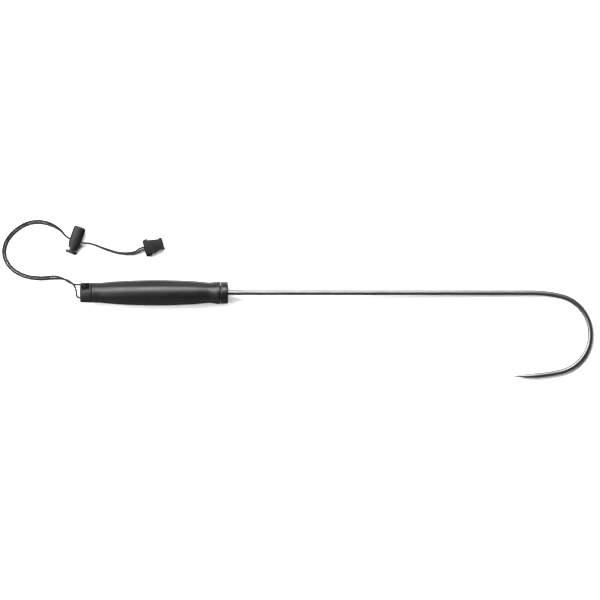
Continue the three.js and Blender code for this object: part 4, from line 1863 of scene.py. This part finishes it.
@dataclass
class CordEnd:
    """A snap-over cord end in two halves, with the knot that it holds.

    The cord comes in at x = 0, the lip is at +X and the hinge on -Y.
    """

    place: Place
    braid: Braid
    length: float = 19.3
    height: float = 8.4
    mouth_width: float = 15.8
    waist_width: float = 10.6
    lip_width: float = 12.4
    lip_length: float = 2.9
    corner: float = 0.75
    edge: float = 0.6
    chamber: Pair = (3.6, 13.2)
    chamber_width: float = 8.0
    chamber_floor: float = 1.2
    chamber_corner: float = 1.2
    slot_height: float = 5.1
    hinge_radius: float = 1.5
    hinge_edge: float = 0.2
    hinge_inset: float = 0.4
    hinge_start: float = 0.5
    lobe: float = 1.6
    middle_lobe: float = 1.8
    pin_radius: float = 0.6
    pin_edge: float = 0.15
    pin_reach: float = 1.2
    bar_sides: int = 40
    tongue: Pair = (1.0, 5.0)
    tongue_thickness: float = 1.6
    tongue_proud: float = 0.8
    tongue_drop: float = 1.7
    tongue_rise: float = 2.0
    tongue_corner: float = 0.4
    notch_corner: float = 0.2
    knot_size: Triple = (6.8, 6.2, 5.2)
    knot_steps: int = 180
    knot_open: float = 0.03
    knot_domed: float = 0.5
    merged_within: float = 0.02

    @property
    def middle(self) -> float:
        """The height of the parting plane."""
        return self.height / 2

    @property
    def middle_start(self) -> float:
        """Where the lid's lobe starts."""
        return self.hinge_start + self.lobe + GAP

    @property
    def last_start(self) -> float:
        """Where the base's second lobe starts."""
        return self.middle_start + self.middle_lobe + GAP

    def outline(self) -> list[Pair]:
        """The plan of the cord end, with eased corners.

        Returns:
            The plan's points.
        """
        lip_start = self.length - self.lip_length
        side = [
            (0.0, self.mouth_width / 2),
            (lip_start - self.edge, self.waist_width / 2),
            (lip_start + self.edge, self.lip_width / 2),
            (self.length, self.lip_width / 2),
        ]
        return rounded_outline([(x, -y) for x, y in side] + side[::-1], self.corner, steps=4)

    def half(self, low: float, high: float) -> Solid:
        """The part of the hollow shell between two heights.

        Args:
            low: the lower height.
            high: the upper height.

        Returns:
            The part.
        """
        solid = Solid(prism(self.outline(), 0.0, self.height)).rounded(self.edge, steps=4, sharper_than=50.0)
        plan = rounded_outline(rectangle(*self.chamber, self.chamber_width / 2), self.chamber_corner)
        chamber = prism(plan, self.chamber_floor, self.height - self.chamber_floor)
        reach = CORD_RADIUS + GAP
        way_in = rectangle(-OVERRUN, self.chamber[0] + OVERRUN, self.slot_height / 2)
        solid.change(Cut.AWAY, chamber, prism(way_in, self.middle - reach, self.middle + reach))
        around = rectangle(-OVERRUN, self.length + OVERRUN, self.mouth_width)
        return solid.change(Cut.WITHIN, prism(around, low, high))

    def hinge_bar(self, start: float, length: float, radius: float, edge: float = 0.0) -> bpy.types.Mesh:
        """A round bar on the hinge's line.

        Args:
            start: where it starts.
            length: its length.
            radius: its radius.
            edge: how much its ends are eased.

        Returns:
            The mesh.
        """
        end = start + length
        profile = [(start, radius - edge), (start + edge, radius), (end - edge, radius), (end, radius - edge)]
        mesh = turned(profile if edge else profile[::3], self.bar_sides)
        mesh.transform(Matrix.Translation((0, self.hinge_inset - self.mouth_width / 2, self.middle)))
        return mesh

    def tongue_block(self, room: float, corner: float) -> bpy.types.Mesh:
        """The lid's catch tongue, or with some room the notch for it.

        Args:
            room: how much larger than the tongue it is.
            corner: the radius of its corners.

        Returns:
            The mesh.
        """
        start, end = self.tongue[0] - room, self.tongue[1] + room
        outer = self.mouth_width / 2 + self.tongue_proud + room
        inner = outer - self.tongue_thickness - 2 * room
        corners = [(start, inner), (end, inner), (end, outer), (start, outer)]
        low = self.middle - self.tongue_drop - room
        return prism(rounded_outline(corners, corner, steps=3), low, self.middle + self.tongue_rise)

    def base(self) -> bpy.types.Mesh:
        """The lower half with its two hinge lobes.

        Returns:
            The mesh.
        """
        solid = self.half(-OVERRUN, self.middle - GAP / 2)
        solid.change(
            Cut.AWAY,
            self.hinge_bar(self.middle_start - GAP, self.middle_lobe + 2 * GAP, self.hinge_radius + GAP),
            self.tongue_block(GAP, self.notch_corner),
        )
        for start in (self.hinge_start, self.last_start):
            solid.change(Cut.WITH, self.hinge_bar(start, self.lobe, self.hinge_radius, self.hinge_edge))
        length = self.last_start + self.lobe + 2 * OVERRUN
        solid.change(Cut.AWAY, self.hinge_bar(-OVERRUN, length, self.pin_radius + GAP))
        return solid.cleaned(self.merged_within).discard()

    def lid(self) -> bpy.types.Mesh:
        """The upper half with the middle lobe, its pins and the tongue.

        Returns:
            The mesh.
        """
        room = self.hinge_radius + GAP
        solid = self.half(self.middle + GAP / 2, self.height + OVERRUN)
        solid.change(
            Cut.AWAY,
            self.hinge_bar(-OVERRUN, OVERRUN + self.middle_start, room),
            self.hinge_bar(self.last_start - GAP, self.lobe + 2 * GAP, room),
        )
        reach = GAP + self.pin_reach
        pin_length = self.middle_lobe + 2 * reach
        solid.change(
            Cut.WITH,
            self.hinge_bar(self.middle_start, self.middle_lobe, self.hinge_radius),
            self.hinge_bar(self.middle_start - reach, pin_length, self.pin_radius, self.pin_edge),
            self.tongue_block(0.0, self.tongue_corner),
        )
        return solid.cleaned(self.merged_within).discard()

    def knot_line(self) -> list[Vector]:
        """An overhand knot drawn up to the knot's size, open where the two ends meet.

        Returns:
            Points along the cord.
        """
        widest = 2.76  # the reach of the knot's curve in X and Y before it is scaled
        middle = Vector((sum(self.chamber) / 2 + GAP, 0, self.middle))
        reach = [size / 2 - CORD_RADIUS for size in self.knot_size]
        line = []
        for step in range(self.knot_steps + 1):
            share = step / self.knot_steps * (1 - 2 * self.knot_open) + self.knot_open
            t = 2 * math.pi * share
            x = (math.sin(t) + 2 * math.sin(2 * t)) / widest * reach[0]
            y = (math.cos(t) - 2 * math.cos(2 * t)) / widest * reach[1]
            line.append(middle + Vector((x, y, -math.sin(3 * t) * reach[2])))
        return line

    def build(self) -> list[bpy.types.Object]:
        """Make both halves and the knot.

        Returns:
            The pieces.
        """
        plastic = (Slot.END, END_PLASTIC)
        base = Skin("end_base", "cord_end_base", *plastic).put(self.base(), self.place)
        lid = Skin("end_lid", "cord_end_lid", *plastic, Body.LID).put(self.lid(), self.place)
        knot, _ = self.braid.lay("end_knot", "cord_knot", self.knot_line(), self.place, self.knot_domed)
        return [base, lid, knot]


# --- Studio ---


@dataclass(frozen=True)
class SoftBox:
    """A soft light: its bearing round the object from +X, its elevation, size and power."""

    name: str
    bearing: float
    elevation: float
    size: Pair
    power: float
    distance: float = 1500.0

    def hang(self, target: Vector) -> None:
        """Hang the light, facing a point on the table.

        Args:
            target: the point, in metres.
        """
        data = bpy.data.lights.new(self.name, "AREA")
        data.shape = "RECTANGLE"
        data.size, data.size_y = (side * MM for side in self.size)
        data.energy = self.power
        rise = math.radians(self.elevation)
        way = level_way(math.radians(self.bearing)) * math.cos(rise) + Vector((0, 0, math.sin(rise)))
        lamp = added(self.name, data)
        lamp.location = target + way * self.distance * MM
        lamp.rotation_euler = (-way).to_track_quat("-Z", "Y").to_euler()


@dataclass
class Studio:
    """A pale table, soft lights and the camera straight above."""

    middle: Pair = (-36.8, 28.65)
    view_width: float = 594.0
    camera_height: float = 2600.0
    camera_reach: float = 20000.0
    focus_height: float = 9.0
    sensor: float = 36.0
    table_size: float = 6000.0
    table_squares: int = 24
    boxes: tuple[SoftBox, ...] = (
        SoftBox("key", 120.0, 54.0, (1900.0, 620.0), 80.0),
        SoftBox("fill", 190.0, 38.0, (1300.0, 900.0), 34.0),
    )
    over: tuple[Pair, ...] = ((0.48, 0.9), (0.61, 0.405), (0.75, 0.078), (1.0, 0.06))
    under_dark: tuple[Pair, ...] = ((0.0, 0.08), (0.2, 0.12), (0.34, 0.63))
    under_lit: tuple[Pair, ...] = ((0.0, 2.8), (0.4, 2.8))
    lit_from: Band = (-0.1, 0.5)

    def table(self) -> None:
        """Lay the table, a sheet of many squares, hidden from glossy rays."""
        mesh = bpy.data.meshes.new("table_top")
        count = self.table_squares
        with editing(mesh) as work:
            bmesh.ops.create_grid(work, x_segments=count, y_segments=count, size=self.table_size * MM / 2)
        mesh.materials.append(TABLE.material())
        top = added("table_top", mesh)
        top.visible_glossy = False

    def camera(self) -> None:
        """Hang the camera over the middle of the view."""
        data = bpy.data.cameras.new("camera")
        data.sensor_width = self.sensor
        data.lens = self.sensor * (self.camera_height - self.focus_height) / self.view_width
        data.clip_end = self.camera_reach * MM
        camera = added("camera", data)
        camera.location = Vector((*self.middle, self.camera_height)) * MM
        bpy.context.scene.camera = camera

    def sky(self) -> None:
        """A soft surround: light round the horizon, dim overhead, and lit from low down at +Y.

        Its ramps give grey levels by height, from 0 straight down to 1 straight up.
        """
        world = bpy.data.worlds.new("surround")
        world.use_nodes = True
        bpy.context.scene.world = world
        sheet = NodeSheet(world.node_tree)
        direction = sheet.add("ShaderNodeTexCoord", output="Generated")
        height = sheet.part(direction, 2) * 0.5 + 0.5
        sides = []
        for under in (self.under_dark, self.under_lit):
            stops = [(place, grey(level)) for place, level in under + self.over]
            sides.append(sheet.add("ShaderNodeValToRGB", {"stops": stops}, {0: height}))
        colour = sheet.graded(sheet.part(direction, 1), self.lit_from, *sides)
        background = sheet.add("ShaderNodeBackground", None, {"Color": colour, "Strength": 1.0})
        sheet.add("ShaderNodeOutputWorld", None, {"Surface": background})

    def build(self) -> None:
        """Set the whole studio."""
        bpy.context.scene.view_settings.view_transform = "Standard"
        self.camera()
        self.table()
        self.sky()
        for box in self.boxes:
            box.hang(Vector((*self.middle, 0.0)) * MM)


def packed_place(name: str, along: float) -> Place:
    """Where the gaff lies, from one of the record's mounts.

    Args:
        name: the mount's name.
        along: 1 or -1, whether the mount faces along the gaff or back.

    Returns:
        The gaff's axes, with their origin at the mount.
    """
    mount = next(m for m in frame["record"]["mounts"] if m["name"] == name)
    x, _, z = (along * number for number in mount["axis"])
    return Place(Vector(mount["pos_m"]) / MM, Vector((x, 0, z)).normalized(), Vector((-z, 0, x)).normalized())


def main() -> None:
    """Build the studio, the cord with its lock and end, and the gaff."""
    logging.basicConfig(level=logging.INFO, format="%(name)s %(message)s")
    Studio().build()

    gaff = packed_place("butt_face", -1)
    below = Place(Vector((gaff.origin.x, gaff.origin.y, 0)), Vector((1, 0, 0)))
    slot = CordSlot()
    cord = WristCord(below, gaff, slot)

    on_cord = cord.pair_place(cord.lock_index)
    lock = CordLock(Place(on_cord.origin, -on_cord.along))
    lock.place.origin = lock.place.matrix() @ Vector((0, -lock.cord_place, lock.height / 2))
    end = CordEnd(cord.pair_place(cord.end_index), cord.braid)
    cord.build([*lock.build(), *end.build()])
    cord.build_turn()

    hook = Hook(gaff)
    hook.build()
    core = HandleCore(gaff, hook, slot)
    core.build()
    Grip(gaff, core).build()


if __name__ == "__main__":
    main()
